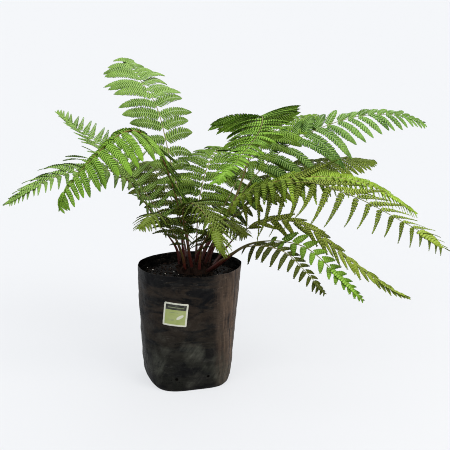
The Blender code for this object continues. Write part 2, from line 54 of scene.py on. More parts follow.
# How close to an axis an edge has to run, and how far points on one level may differ
ALONG_AXIS = 0.9
LEVEL_SLACK = 0.0005
X_AXIS = 0
Z_AXIS = 2
# Noise ridges: their fall and step from octave to octave, offset, gain and middle height
RIDGE_FALL = 0.9
RIDGE_STEP = 2.2
RIDGE_OFFSET = 0.9
RIDGE_GAIN = 1.6
RIDGE_MIDDLE = 0.8

# Camera, at the viewing angle of the photograph, backdrop, floor and lights
PHOTO_SIDE = 450
PIXEL_SIZE = 0.001923
VIEW_TARGET = Vector((0.0685, 0.0, 0.307))
VIEW_DISTANCE = 2.0
VIEW_ELEVATION = 13
SENSOR_WIDTH = 36
PIXEL_FILTER = 1.0
BACKDROP = (0.885, 0.900, 0.925, 1)
FLOOR_GLOW = 0.73
FLOOR_COLOUR = (0.160, 0.165, 0.175)
FLOOR_RADIUS = 120
# Each sun: its name, where it shines from, its spread in degrees, its strength and its colour
SUNS = (
    ("key", (1.5, -1.5, 2.3), 34, 1.9, (1.0, 0.97, 0.90)),
    ("fill", (-0.9, -2.2, 2.2), 40, 1.3, (1.0, 0.98, 0.94)),
    ("rear", (0.5, 1.8, 2.4), 40, 0.9, (1.0, 1.0, 0.95)))
# The lamp at the side: where it stands, its strength, its colour and its width
SIDE_LAMP = ((1.6, -0.5, 0.6), 6, (1.0, 0.78, 0.58))
SIDE_LAMP_SIZE = 0.5

# Planter bag, its label, the mix in it and the crown
BAG_HEIGHT = 0.230
BAG_SIDES = 180
BAG_RINGS = 104
BAG_FLOOR_RINGS = (0.93, 0.80, 0.72, 0.6, 0.4)
FILM = 0.0004
BAG_START = 0.1
FOOT_RADIUS = 0.082
# The film's relief: its heights, its scales across and upwards, and where it is calmer
DENTS = 0.0012
DENT_SCALE = 26
DENT_NOISE = (0.9, 2.1, 3)
FOLDS = 0.0007
FOLD_SCALE = (30, 30, 52)
PLEATS = 0.0005
PLEAT_SCALE = (62, 62, 9)
PLEATS_START = (0.05, 0.16)
LIP_WAVE = 0.0014
LIP_WAVES = 2.2
LIP_DEPTH = 0.03
FOOT_CALM = 0.3
FOOT_CALM_HEIGHT = 0.012
LABEL_CALM = 0.25
LABEL_CALM_REACH = (0.024, 0.045)
DRAIN_RADIUS = 0.0028
DRAIN_RIM = 0.0006
DRAIN_RIM_RADIUS = 0.0045
DRAIN_RIM_WIDTH = 0.0014
CUTTER_LENGTH = 0.03
CUTTER_OUT = 0.006
# Each drain hole: its angle round the bag in degrees and its height
DRAIN_HOLES = (
    (-101, 0.027), (-60, 0.029), (-20, 0.014), (35, 0.014), (90, 0.014), (145, 0.014), (200, 0.014))
LABEL_SIZE = 0.0455
LABEL_CENTRE = Vector((-0.0212, -0.09, 0.1565))
LABEL_TILT = 4
LABEL_CORNER = 0.05
LABEL_GAP = 0.00035
LABEL_WALL = 0.0002
LABEL_GRID = 28
# The label is laid from this radius, in rounds that come closer to the film
LABEL_START = 0.09
LABEL_ROUNDS = 6
MIX_TOP = 0.212
MIX_FLOOR = 0.004
MIX_MOUND = 0.005
MIX_LUMPS = 0.0022
LUMP_SCALE = 75
LUMP_NOISE = (0.8, 2.1, 4)
LUMP_SLICE = 3.0
MIX_SINK = 0.003
# Between which shares of its radius the mound falls to nothing, and the mix sinks
MOUND_EDGE = (0.3, 1.0)
SINK_EDGE = (0.75, 1.0)
MIX_RADIUS = 0.098
MIX_START = 0.09
MIX_SIDES = 128
MIX_RINGS = 30
MIX_WALL_CUTS = 15
MIX_GAP = 0.0012
MIX_EDGE_GAP = 0.0005
SCATTER_RADIUS = 0.094
# What lies on the mix: how many pieces, and the size of the smallest and the largest
GRAINS = {
    "chip": (260, 0.0014, 0.0042), "crumb": (420, 0.0009, 0.0026), "grain": (34, 0.0008, 0.0017)}
STONE_RADIUS = (0.65, 1.15)
STONE_STRETCH = ((0.7, 1.7), (0.6, 1.0), (0.5, 0.9))
CROWN_CENTRE = Vector((0.010, 0.0, 0.0))
CROWN_RADIUS = 0.037
CROWN_TOP = 0.236
CROWN_RISE = CROWN_TOP - MIX_TOP
CROWN_CUT = -0.35
CROWN_GROOVES = 0.07
GROOVE_SCALE = (5, 5, 1.2)
STUBS = 34
GOLDEN_TURN = 0.382
HAIRS = 520
# The crown's stubs and hairs: their width at the tip for that at the foot, how far from the middle
# a stub stands, how far they stray in radians, how far their feet are drawn in across and up and
# how deep they sink, then their radius, length and tilt in degrees, and how flat a stub is
STUB_TIP = 0.62
HAIR_TIP = 0.2
STUB_REACH = (0.45, 1.0)
STUB_STRAY = 0.2
HAIR_STRAY = 0.8
STUB_FOOT = (0.9, 0.9, 0.004)
HAIR_FOOT = (0.95, 1.0, 0.003)
STUB_RADIUS = (0.0018, 0.0034)
STUB_LENGTH = (0.008, 0.018)
STUB_TILT = (15, 50)
STUB_FLAT = 1.3
HAIR_RADIUS = 0.00022
HAIR_LENGTH = (0.006, 0.015)
HAIR_TILT = (5, 85)

# One level of the bag: height, half width, half depth, squareness, turn in degrees and its middle
Level = namedtuple("Level", "z half_x half_y square turn mid_x mid_y")
BAG_LEVELS = (
    Level(0.000, 0.0700, 0.0735, 3.6, 17, -0.0085, -0.005),
    Level(0.005, 0.0755, 0.0785, 3.4, 17, -0.0080, -0.004),
    Level(0.016, 0.0805, 0.0835, 3.0, 15, -0.0075, -0.003),
    Level(0.045, 0.0865, 0.0885, 2.6, 12, -0.0062, -0.001),
    Level(0.110, 0.0922, 0.0920, 2.3, 6, -0.0048, 0.000),
    Level(0.170, 0.0970, 0.0955, 2.1, 2, -0.0022, 0.000),
    Level(BAG_HEIGHT, 0.0998, 0.0985, 2.0, 0, 0.000, 0.000),
)

# Fronds
STALK_HALF_WIDTH = 0.0036
RIB_HALF_WIDTH = 0.0012
TIP_HALF_WIDTH = 0.0005
RIB_STATIONS = 64
ROUTE_STEPS = 24
HEADING_PULL = 0.35
ROLL_GROWS = 3
SPACING_TAPER = 1.45
FOOT_LEAFLET = 0.38
TIP_LEAFLET = 0.14
TIP_WIDTH = 1.7
SWING_FADE = 1.4
SEED = 100

# Leaflets: lobes on both sides of a thin rib of their own. A family gives the space between lobes,
# the longest lobe, how long it is for the leaflet's length, how wide for that space, the share of
# the leaflet where lobes start to shorten, and the power by which they do
Family = namedtuple("Family", "spacing longest growth wide full power")
FAMILIES = {
    "broad": Family(0.0046, 0.0120, 0.150, 1.04, 0.45, 2.0),
    "tapered": Family(0.0044, 0.0102, 0.125, 1.02, 0.10, 1.2),
    "plain": Family(0.0048, 0.0056, 0.090, 1.40, 0.40, 1.6),
}
LOBE_FOLD = 0.26
LOBE_WALL = 0.10
LOBE_BEND = 0.10
PLAIN_LOBE = 0.5
LOBE_LEAST = 0.0018
LOBE_END = 0.0006
# What lies on a lobe's vein, and where its tip starts
ON_VEIN = 0.01
AT_TIP = 0.95
# How long the first lobe is for its full length, and how much that grows along the leaflet
FIRST_LOBE = 0.80
LOBE_GROWS = 1.6
# The angle of lobes to the leaflet's rib in degrees, how much it closes towards the tip, how far
# their length, angle and lean stray, and their scale in height for the space between them
LOBE_SWING = 74
LOBE_CLOSES = 26
LOBE_STRAY = (0.94, 1.06)
LOBE_SWING_STRAY = 4
LOBE_LEAN_STRAY = 0.12
LOBE_HEIGHT = 0.90
# Lobes merge and widen towards the tip, and on young leaflets, where they also lie closer together
MERGE_REACH = (0.55, 0.95)
MERGE_WIDER = 0.3
MERGE_YOUNG = 0.7
CLOSER_YOUNG = 0.40
# The lobe that a leaflet ends in: where it starts, its length, and its width for that space
END_START = 0.93
END_LENGTH = 0.07
END_WIDTH = 0.6
LOBED = 0.95
GROWN = (0.012, 0.050)
LEAF_ROUGHNESS = 0.42
TRANSLUCENCE = 0.25
STALK_SLOT = 1
# How far leaflets stray at random, how loose they are at the frond's tip, and how much more at
# its foot
LENGTH_STRAY = 0.07
SWING_STRAY = 5
LIFT_STRAY = 0.06
TWIST_STRAY = 0.16
FOLD_STRAY = 0.25
TONE_STRAY = 0.42
LOOSE_TIP = 1.2
LOOSE_FOOT = 2.6
# The tone of a leaflet: at the foot of a frond, how much it rises along it, and at the tip. Lower
# tones at the foot stand partly for age and partly for painted shade in the plant's middle.
FOOT_TONE = 0.08
TONE_RISE = 0.9
TIP_TONE = 0.9
OLD_TINT = (0.92, 0.80, 0.58)
# A leaflet's rib: its radius, the share of that lost at its tip, its length for the leaflet's, the
# share of the radius that a leaflet of no length has, and the length that adds a whole one
LEAFLET_RIB = 0.00050
LEAFLET_RIB_LOSS = 0.75
LEAFLET_RIB_LENGTH = 0.96
LEAFLET_RIB_LEAST = 0.5
LEAFLET_RIB_GROWN = 0.12
LEAFLET_SIZES = (0.104, 0.092, 0.080, 0.068, 0.056, 0.045, 0.036, 0.028, 0.021, 0.015, 0.010)

# How the leaflets of one side leave the rib: the angle to it in degrees, how much they rise, how
# far they sink over their length, how far they turn about their own ribs in radians, how long they
# are for the frond's own length, how far they curl towards the frond's tip, and how much that angle
# closes and that turn changes from the foot of the blade to its tip
Side = namedtuple(
    "Side", "swing lift droop twist size curl closes wind", defaults=(0.0, 1.0, 0.08, 34, 0.0))

# A frond: its longest leaflet in millimetres, where that is along the blade, the power by which the
# leaflets shorten from there, its pairs of leaflets, the length of the blade that it ends in, the
# share of its stalk that is bare, the roll of its blade about the rib in degrees, its family of
# leaflets and how wide they are, its green, how red its rib is, its two sides as seen from its foot,
# and the route of its rib in millimetres
Frond = namedtuple(
    "Frond", "name longest widest fade pairs tip bare roll family width green warmth left right route")
FRONDS = (
    Frond("frond_tall_rear", 88, 0.50, 1.6, 19, 46, 0.26, 0, "broad", 1.08, "light", 0.45,
          Side(72, 0.26, 0.46), Side(72, 0.26, 0.50),
          ((3, 14, 209), (-4, 26, 262), (-12, 40, 320), (-38, 76, 415), (-65, 125, 512),
           (-99, 185, 560), (-146, 285, 603))),
    Frond("frond_left_arch", 94, 0.45, 1.0, 25, 30, 0.18, 0, "broad", 0.74, "fresh", 1.0,
          Side(96, -0.30, 0.18, 0.2), Side(20, 0.12, 0.42, 1.2, 0.45),
          ((-8, -7, 209), (-12, -17, 262), (-22, -42, 365), (-56, -80, 470), (-102, -115, 505),
           (-160, -150, 465), (-212, -174, 405), (-220, -180, 378))),
    Frond("frond_left_long", 96, 0.35, 0.75, 26, 60, 0.18, 0, "tapered", 0.85, "light", 0.6,
          Side(84, -0.34, 0.24, 0.0, 0.55), Side(36, 0.55, 0.38, 0.25, 1.0),
          ((-18, 3, 212), (-26, 0, 262), (-61, -18, 318), (-111, -40, 400), (-165, -65, 428),
           (-228, -95, 422), (-279, -115, 400), (-316, -130, 378))),
    Frond("frond_left_rear", 76, 0.40, 1.0, 22, 50, 0.20, 0, "tapered", 0.9, "light", 0.4,
          Side(54, 0.10, 0.14, 0.0, 0.75), Side(80, 0.45, 0.10),
          ((-12, 13, 212), (-22, 20, 262), (-66, 54, 328), (-130, 95, 400), (-205, 130, 455),
           (-270, 150, 505))),
    Frond("frond_over_front", 108, 0.12, 0.48, 36, 44, 0.46, 0, "broad", 0.75, "fresh", 0.45,
          Side(92, 0.36, 0.16, -0.55, 0.96, 0.08), Side(84, 0.12, 0.36, 1.1, 1.00, 0.08, 34, -1.2),
          ((17, -2, 209), (32, 0, 262), (82, 4, 345), (112, 8, 430), (128, 0, 506),
           (137, -55, 521), (128, -110, 500), (98, -155, 468), (70, -190, 442), (55, -206, 430))),
    Frond("frond_right_long", 92, 0.35, 0.65, 22, 64, 0.18, 10, "broad", 0.95, "cool", 0.3,
          Side(34, 0.40, 0.20, 0.4, 0.75), Side(76, 0.06, 0.60),
          ((28, 7, 211), (42, 14, 262), (100, 36, 360), (155, 80, 417), (234, 140, 463),
           (336, 200, 490), (425, 240, 490), (491, 265, 470))),
    Frond("frond_right_rear_high", 84, 0.35, 1.2, 18, 40, 0.24, 0, "broad", 0.9, "mid", 0.4,
          Side(72, 0.22, 0.36), Side(78, 0.08, 0.52),
          ((21, 18, 211), (33, 30, 262), (105, 84, 400), (180, 160, 475), (260, 240, 490))),
    Frond("frond_right_rear_low", 84, 0.40, 0.9, 26, 36, 0.20, 6, "broad", 0.75, "dark", 0.4,
          Side(68, 0.32, 0.52), Side(78, 0.12, 0.48),
          ((33, 18, 213), (50, 28, 262), (118, 62, 350), (219, 108, 400), (313, 150, 408),
           (373, 170, 404))),
    Frond("frond_right_bright", 104, 0.25, 0.6, 19, 50, 0.18, 14, "tapered", 0.9, "olive", 0.3,
          Side(50, 0.00, 0.14, 1.3, 1.1, 0.08, 16, -2.2),
          Side(112, -1.30, 0.00, 0.3, 1.0, -0.20, 96),
          ((27, -6, 211), (42, -12, 262), (116, -54, 368), (205, -130, 415), (289, -210, 405),
           (357, -285, 380), (394, -325, 364), (413, -345, 350))),
    Frond("frond_right_low", 48, 0.14, 1.0, 23, 64, 0.16, 0, "plain", 1.0, "olive", 0.3,
          Side(30, 0.10, 0.10, 1.1, 0.95), Side(44, -0.22, 0.24),
          ((39, 2, 219), (96, 14, 286), (162, 6, 315), (229, -12, 304), (311, -22, 240),
           (382, -28, 191), (421, -32, 172))),
    Frond("frond_right_front_upper", 42, 0.10, 1.0, 13, 80, 0.38, 0, "plain", 1.4, "fresh", 0.3,
          Side(56, 0.60, 0.10, 1.3, 0.80), Side(66, -0.30, 0.28, 0.0, 0.8),
          ((39, -14, 219), (118, -48, 282), (205, -115, 296), (268, -160, 254), (312, -190, 214))),
    Frond("frond_right_front_lower", 44, 0.14, 1.0, 14, 30, 0.32, 0, "plain", 1.0, "shade", 0.5,
          Side(66, 0.30, 0.20, 0.9, 0.7), Side(84, -0.45, 0.20),
          ((31, -21, 219), (104, -70, 280), (170, -122, 288), (214, -155, 256), (246, -175, 222))),
    Frond("frond_front_low", 96, 0.36, 0.60, 26, 36, 0.28, 0, "tapered", 0.8, "dark", 0.9,
          Side(62, 0.00, 0.30, 0.1, 1.0), Side(60, 0.02, 0.44, 0.5, 0.45),
          ((8, -17, 210), (0, -34, 262), (-10, -62, 340), (4, -105, 372), (30, -150, 365),
           (50, -190, 338), (60, -212, 310))),
    Frond("frond_front_left", 54, 0.25, 1.2, 16, 36, 0.30, 0, "tapered", 0.95, "dark", 0.4,
          Side(80, 0.00, 0.40), Side(76, 0.10, 0.44),
          ((-6, -18, 210), (-14, -38, 262), (-34, -72, 325), (-58, -112, 352), (-84, -150, 336))),
    Frond("frond_rear", 90, 0.40, 0.9, 22, 40, 0.18, 0, "broad", 0.85, "mid", 0.4,
          Side(70, 0.22, 0.46, 0.3), Side(82, 0.04, 0.34, -0.3),
          ((11, 24, 210), (16, 62, 328), (32, 126, 396), (56, 200, 424), (78, 262, 412))),
    Frond("frond_rear_left", 80, 0.40, 1.2, 19, 40, 0.18, 0, "broad", 0.85, "dark", 0.4,
          Side(76, 0.10, 0.38), Side(76, 0.18, 0.36),
          ((-6, 23, 211), (-12, 44, 262), (-38, 92, 338), (-86, 170, 392), (-150, 250, 380))),
    Frond("frond_inner_right", 56, 0.20, 1.2, 18, 30, 0.26, 0, "tapered", 0.85, "shade", 0.6,
          Side(70, 0.16, 0.40), Side(80, -0.10, 0.40),
          ((18, -23, 213), (24, -40, 268), (44, -72, 318), (76, -100, 334), (108, -128, 318))),
    Frond("frond_right_inner", 48, 0.40, 0.50, 40, 60, 0.24, 0, "tapered", 1.4, "gold", 0.9,
          Side(60, 0.25, 0.10, 0.9, 0.85), Side(70, -0.10, 0.55, -1.2, 1.3),
          ((8, 3, 210), (20, -12, 262), (60, -30, 322), (108, -46, 378), (176, -80, 410),
           (257, -112, 421), (319, -135, 413), (363, -148, 392), (404, -156, 365))),
)

# Greens of the leaflets, deep and lit, as linear colours. The dark and shade greens are darker
# copies, painted shade for fronds that stand in the shade of the others.
GREENS = {
    "light": ((0.040, 0.100, 0.014), (0.250, 0.420, 0.092)),
    "cool": ((0.028, 0.085, 0.014), (0.205, 0.380, 0.080)),
    "fresh": ((0.026, 0.068, 0.006), (0.222, 0.425, 0.042)),
    "gold": ((0.040, 0.082, 0.005), (0.300, 0.470, 0.047)),
    "mid": ((0.024, 0.058, 0.004), (0.170, 0.310, 0.030)),
    "olive": ((0.038, 0.064, 0.004), (0.262, 0.362, 0.042)),
    "dark": ((0.020, 0.036, 0.002), (0.150, 0.216, 0.024)),
    "shade": ((0.012, 0.018, 0.001), (0.075, 0.100, 0.009)),
}


def deselect():
    """Leave edit mode and select nothing."""
    if bpy.context.object and bpy.context.object.mode != "OBJECT":
        bpy.ops.object.mode_set(mode="OBJECT")
    bpy.ops.object.select_all(action="DESELECT")


def choose(obj):
    """Select one object alone and make it the active one."""
    deselect()
    obj.select_set(True)
    bpy.context.view_layer.objects.active = obj


def edit(obj):
    """Open an object for editing with nothing selected in it."""
    choose(obj)
    bpy.ops.object.mode_set(mode="EDIT")
    bpy.ops.mesh.select_mode(type="VERT")
    bpy.ops.mesh.select_all(action="DESELECT")


def pick(obj, test, among=False):
    """Select the points that pass a test. With among, only points selected already may stay so."""
    mesh = bmesh.from_edit_mesh(obj.data)
    for vertex in mesh.verts:
        vertex.select = test(vertex.co) and (vertex.select or not among)
    mesh.select_flush_mode()
    bmesh.update_edit_mesh(obj.data)


def cut_along(obj, axis, cuts):
    """Cut an object's edges that run along an axis."""
    edit(obj)
    bpy.ops.mesh.select_mode(type="EDGE")
    mesh = bmesh.from_edit_mesh(obj.data)
    for edge in mesh.edges:
        way = (edge.verts[1].co - edge.verts[0].co).normalized()
        edge.select = abs(way[axis]) > ALONG_AXIS
    bmesh.update_edit_mesh(obj.data)
    bpy.ops.mesh.subdivide(number_cuts=cuts)
    bpy.ops.object.mode_set(mode="OBJECT")


def close_edit():
    """Turn all faces outwards and go back to object mode."""
    bpy.ops.mesh.select_all(action="SELECT")
    bpy.ops.mesh.normals_make_consistent(inside=False)
    bpy.ops.object.mode_set(mode="OBJECT")


def add_primitive(operator, **settings):
    """Add a primitive on its own and put its place in its mesh, so that its object sits at the origin."""
    deselect()
    operator(**settings)
    bpy.ops.object.transform_apply(location=True, rotation=True, scale=True)
    return bpy.context.object


def new_object(name, data):
    """A new object in the scene."""
    obj = bpy.data.objects.new(name, data)
    bpy.context.scene.collection.objects.link(obj)
    return obj


def join(name, objs):
    """Join objects into the first one and name it."""
    choose(objs[0])
    for obj in objs:
        obj.select_set(True)
    bpy.ops.object.join()
    joined = bpy.context.object
    joined.name = name
    joined.data.name = name
    return joined


def set_points(obj, places):
    """Move an object's points to new places."""
    obj.data.vertices.foreach_set("co", np.asarray(places, np.float32).ravel())


def add_copy(template, places):
    """Copy a template with its own mesh, its points moved to new places."""
    obj = new_object(template.name, template.data.copy())
    set_points(obj, places)
    return obj


def points_of(obj):
    """The places of an object's points as rows of x, y and z."""
    places = np.empty(len(obj.data.vertices) * 3, np.float32)
    obj.data.vertices.foreach_get("co", places)
    return places.reshape(-1, 3).astype(float)


def moved(points, matrix):
    """Points turned, sized and moved by a matrix."""
    matrix = np.array(matrix)
    return points @ matrix[:3, :3].T + matrix[:3, 3]


def apply_modifier(obj, kind, **settings):
    """Add a modifier, set it and apply it."""
    choose(obj)
    bpy.ops.object.modifier_add(type=kind)
    modifier = obj.modifiers[-1]
    for name, value in settings.items():
        setattr(modifier, name, value)
    bpy.ops.object.modifier_apply(modifier=modifier.name)


def smooth(obj, angle):
    """Shade an object smooth, with edges sharper than an angle in degrees kept sharp."""
    choose(obj)
    bpy.ops.object.shade_smooth_by_angle(angle=math.radians(angle))


def discard(objs):
    """Remove templates that have been copied."""
    for obj in objs:
        bpy.data.objects.remove(obj)


def fade(value, low, high):
    """A smooth step from 0 at low to 1 at high."""
    share = min(max((value - low) / (high - low), 0.0), 1.0)
    return share * share * (3 - 2 * share)


def way_out(angle):
    """The level direction at an angle round the Z axis."""
    return Vector((math.cos(angle), math.sin(angle), 0))


def ridges(x, y, z, octaves=3):
    """Sharp ridges of noise, above and below 0."""
    height = noise.ridged_multi_fractal(
        Vector((x, y, z)), RIDGE_FALL, RIDGE_STEP, octaves, RIDGE_OFFSET, RIDGE_GAIN)
    return height - RIDGE_MIDDLE


def stretched(place, scale):
    """A place's coordinates, each times its own scale."""
    return [part * size for part, size in zip(place, scale)]


# Shader helpers

def put(tree, socket, value):
    """Set a socket's value, or link it to the socket that feeds it. A colour gets a full alpha."""
    if isinstance(value, bpy.types.NodeSocket):
        tree.links.new(value, socket)
    elif socket.type == "RGBA":
        socket.default_value = (*value[:3], 1.0)
    else:
        socket.default_value = value


def add_node(tree, kind, inputs=None, **settings):
    """Add a shader node. inputs maps a socket to its value or to the socket that feeds it."""
    node = tree.nodes.new("ShaderNode" + kind)
    for name, value in settings.items():
        setattr(node, name, value)
    for key, value in (inputs or {}).items():
        put(tree, node.inputs[key], value)
    return node


def add_group(tree, group, place, **values):
    """Place a shader group in a material with its own coordinates and values. Returns its outputs."""
    return add_node(tree, "Group", {"Vector": place, **values}, node_tree=group).outputs


def add_noise(tree, place, scale, detail=2.0, roughness=0.5, distortion=0.0):
    """Cloudy noise, as a value."""
    node = add_node(tree, "TexNoise", {"Vector": place, "Scale": scale, "Detail": detail,
                                       "Roughness": roughness, "Distortion": distortion})
    return node.outputs["Fac"]


def add_ramp(tree, factor, stops):
    """Add a colour ramp with stops of (position, colour)."""
    node = add_node(tree, "ValToRGB", {0: factor})
    ramp = node.color_ramp
    while len(ramp.elements) < len(stops):
        ramp.elements.new(0.5)
    for element, (position, colour) in zip(ramp.elements, stops):
        element.position = position
        element.color = (*colour, 1.0)
    return node.outputs[0]


def grey(value):
    """A grey of one value."""
    return (value, value, value)


def mix_colours(tree, factor, low, high, blend="MIX"):
    """Mix two colours."""
    inputs = {0: factor, 6: low, 7: high}
    return add_node(tree, "Mix", inputs, data_type="RGBA", blend_type=blend).outputs[2]


def maths(tree, operation, first, second=0.0, third=0.0, clamp=False):
    """A Math node's result."""
    node = add_node(tree, "Math", {0: first, 1: second, 2: third}, operation=operation, use_clamp=clamp)
    return node.outputs[0]


def vector_maths(tree, operation, *inputs):
    """A Vector Math node, its inputs given in order."""
    return add_node(tree, "VectorMath", dict(enumerate(inputs)), operation=operation)


def mask_between(tree, value, low, high, top=1.0):
    """A mask that goes from 0 at low to top at high."""
    return add_node(tree, "MapRange", {0: value, 1: low, 2: high, 4: top}).outputs[0]


def new_group(name, inputs, outputs):
    """Start a shader group and return its tree, what it is given and where its results go.

    inputs maps a name to its default: a number, a vector of three or a colour of four. outputs maps
    a name to its kind.
    """
    tree = bpy.data.node_groups.new(name, "ShaderNodeTree")
    for key, value in inputs.items():
        kind = "Float" if isinstance(value, float) else {3: "Vector", 4: "Color"}[len(value)]
        socket = tree.interface.new_socket(key, in_out="INPUT", socket_type="NodeSocket" + kind)
        socket.default_value = value
    for key, kind in outputs.items():
        tree.interface.new_socket(key, in_out="OUTPUT", socket_type="NodeSocket" + kind)
    return tree, tree.nodes.new("NodeGroupInput").outputs, tree.nodes.new("NodeGroupOutput").inputs


def make_mottle():
    """Blotches and finer specks between a dark and a light colour."""
    tree, given, result = new_group(
        "mottle", {"Vector": ORIGIN, "Scale": 40.0, "Dark": BLACK, "Light": WHITE, "Lift": 0.0},
        {"Color": "Color", "Mask": "Float"})
    blotch = add_noise(tree, given["Vector"], given["Scale"], 4.0, 0.6)
    speck = add_noise(tree, given["Vector"], maths(tree, "MULTIPLY", given["Scale"], 6.0))
    both = maths(tree, "MULTIPLY_ADD", speck, 0.3, blotch)
    mask = mask_between(tree, maths(tree, "ADD", both, given["Lift"]), 0.42, 0.88)
    put(tree, result["Color"], mix_colours(tree, mask, given["Dark"], given["Light"]))
    put(tree, result["Mask"], mask)
    return tree


def make_dust():
    """Dry dust in streaky patches: it pales a colour and dulls its gloss."""
    tree, given, result = new_group(
        "dust",
        {"Vector": ORIGIN, "Color": BLACK, "Dust": (0.5, 0.45, 0.4, 1), "Scale": 20.0, "Amount": 0.3,
         "Gloss": 0.3, "Dull": 0.6},
        {"Color": "Color", "Roughness": "Float"})
    patch = add_noise(tree, given["Vector"], given["Scale"], 8.0, 0.68, 0.6)
    spread = mask_between(tree, patch, 0.46, 0.80)
    mask = maths(tree, "MULTIPLY", spread, given["Amount"], clamp=True)
    rough = add_node(tree, "MapRange", {0: spread, 3: given["Gloss"], 4: given["Dull"]})
    put(tree, result["Color"], mix_colours(tree, mask, given["Color"], given["Dust"]))
    put(tree, result["Roughness"], rough.outputs[0])
    return tree


def make_crinkle():
    """The height of fine creases: sharp folds between facets, in two sizes."""
    tree, given, result = new_group("crinkle", {"Vector": ORIGIN, "Scale": 60.0}, {"Height": "Float"})
    wander = add_noise(tree, given["Vector"], 18.0).node.outputs["Color"]
    bent = vector_maths(tree, "MULTIPLY_ADD", wander, grey(0.03), given["Vector"]).outputs[0]
    facets = add_node(tree, "TexVoronoi", {"Vector": bent, "Scale": given["Scale"]},
                      feature="F1", distance="CHEBYCHEV")
    fine = add_noise(tree, bent, maths(tree, "MULTIPLY", given["Scale"], 1.7), 5.0, 0.6)
    put(tree, result["Height"], maths(tree, "MULTIPLY_ADD", facets.outputs["Distance"], 0.5, fine))
    return tree


def make_fibre():
    """Fine strands, long where the stretch is small."""
    tree, given, result = new_group(
        "fibre", {"Vector": ORIGIN, "Scale": 300.0, "Stretch": (1, 1, 0.12)}, {"Mask": "Float"})
    long = vector_maths(tree, "MULTIPLY", given["Vector"], given["Stretch"]).outputs[0]
    strands = add_noise(tree, long, given["Scale"], 3.0, 0.7)
    put(tree, result["Mask"], mask_between(tree, strands, 0.3, 0.7))
    return tree


def make_patch():
    """A mask that is 1 inside a rectangle of the label's own map."""
    tree, given, result = new_group(
        "patch", {"Vector": ORIGIN, "Middle": (0.5, 0.5, 0), "Half": (0.4, 0.4, 1)}, {"Mask": "Float"})
    offset = vector_maths(tree, "SUBTRACT", given["Vector"], given["Middle"]).outputs[0]
    size = vector_maths(tree, "ABSOLUTE", offset).outputs[0]
    room = vector_maths(tree, "SUBTRACT", given["Half"], size).outputs[0]
    split = add_node(tree, "SeparateXYZ", {0: room}).outputs
    least = maths(tree, "MINIMUM", split[0], split[1])
    put(tree, result["Mask"], maths(tree, "GREATER_THAN", least, 0.0))
    return tree


MOTTLE = make_mottle()
DUST = make_dust()
CRINKLE = make_crinkle()
FIBRE = make_fibre()
PATCH = make_patch()


def new_material(name):
    """A material with its tree, its main shader and its coordinates."""
    material = bpy.data.materials.new(name)
    material.use_nodes = True
    tree = material.node_tree
    place = tree.nodes.new("ShaderNodeTexCoord").outputs["Object"]
    return material, tree, tree.nodes["Principled BSDF"], place


def feed(tree, shader, **sockets):
    """Link or set the main shader's sockets. An underscore stands for a space."""
    for name, value in sockets.items():
        put(tree, shader.inputs[name.replace("_", " ")], value)


def add_bump(tree, height, strength, distance):
    """A bumped normal from a height."""
    inputs = {"Height": height, "Strength": strength, "Distance": distance}
    return add_node(tree, "Bump", inputs).outputs[0]


def film_material():
    """Black polythene film: glossy, crinkled and scuffed below, with painted reflection and shade."""
    material, tree, shader, place = new_material("black_film")
    x, y, z = add_node(tree, "SeparateXYZ", {0: place}).outputs
    # Painted reflection: the film turns brown above, from brown surroundings, and stays darker below.
    upper = mask_between(tree, z, 0.06, 0.15)
    colour = mix_colours(tree, upper, (0.0075, 0.0080, 0.0066), (0.021, 0.0155, 0.0112))
    # Painted reflection of the dark foliage: near-black patches, more of them towards the lip.
    flat = add_node(tree, "Mapping", {0: place, 3: (15.0, 15.0, 42.0)}).outputs[0]
    reflection_patches = add_noise(tree, flat, 1.0, 5.0, 0.6, 0.9)
    rim = mask_between(tree, z, 0.190, 0.228, 0.11)
    dark_reflection = mask_between(tree, maths(tree, "ADD", reflection_patches, rim), 0.47, 0.60)
    colour = mix_colours(tree, dark_reflection, colour, (0.0014, 0.0016, 0.0024))
    # Painted sheen: warm brown streaks on the front half of the right side stand in for reflected light.
    strands = add_group(tree, FIBRE, place, Scale=130.0, Stretch=(1, 1, 0.10))
    side = mask_between(tree, x, 0.046, 0.090)
    front = mask_between(tree, y, 0.045, -0.010)
    warm = maths(tree, "MULTIPLY", maths(tree, "MULTIPLY", side, strands["Mask"]), front)
    colour = mix_colours(tree, warm, colour, (0.200, 0.140, 0.104))
    leaning = add_node(tree, "Mapping", {0: place, 2: (0, math.radians(-35), 0)}).outputs[0]
    scratch = add_group(tree, FIBRE, leaning, Scale=120.0, Stretch=(1, 1, 0.16))
    spot = mask_between(tree, add_noise(tree, place, 19.0), 0.50, 0.66)
    lower = mask_between(tree, z, 0.135, 0.095)
    rubbed = maths(tree, "MULTIPLY", maths(tree, "MULTIPLY", scratch["Mask"], lower), spot)
    colour = mix_colours(tree, maths(tree, "MULTIPLY", rubbed, 0.6), colour, (0.085, 0.090, 0.075))
    # Painted shade: the film's inner faces, inside the bag, are near black.
    level_place = vector_maths(tree, "MULTIPLY", place, (1, 1, 0)).outputs[0]
    normal = tree.nodes["Texture Coordinate"].outputs["Normal"]
    facing = vector_maths(tree, "DOT_PRODUCT", level_place, normal).outputs["Value"]
    outer = maths(tree, "GREATER_THAN", facing, 0.0)
    colour = mix_colours(tree, outer, (0.0016, 0.0017, 0.0018), colour)
    scuffed = add_group(tree, DUST, place, Color=colour, Scale=30.0, Dust=(0.26, 0.25, 0.22),
                        Amount=0.06, Gloss=0.15, Dull=0.42)
    crease = add_group(tree, CRINKLE, place, Scale=60.0)
    level = add_group(tree, FIBRE, place, Scale=95.0, Stretch=(0.16, 0.16, 1))
    height = maths(tree, "MULTIPLY_ADD", level["Mask"], 0.45, crease["Height"])
    feed(tree, shader, Base_Color=scuffed["Color"], Roughness=scuffed["Roughness"],
         Specular_IOR_Level=0.26, Normal=add_bump(tree, height, 0.85, 0.0018))
    return material


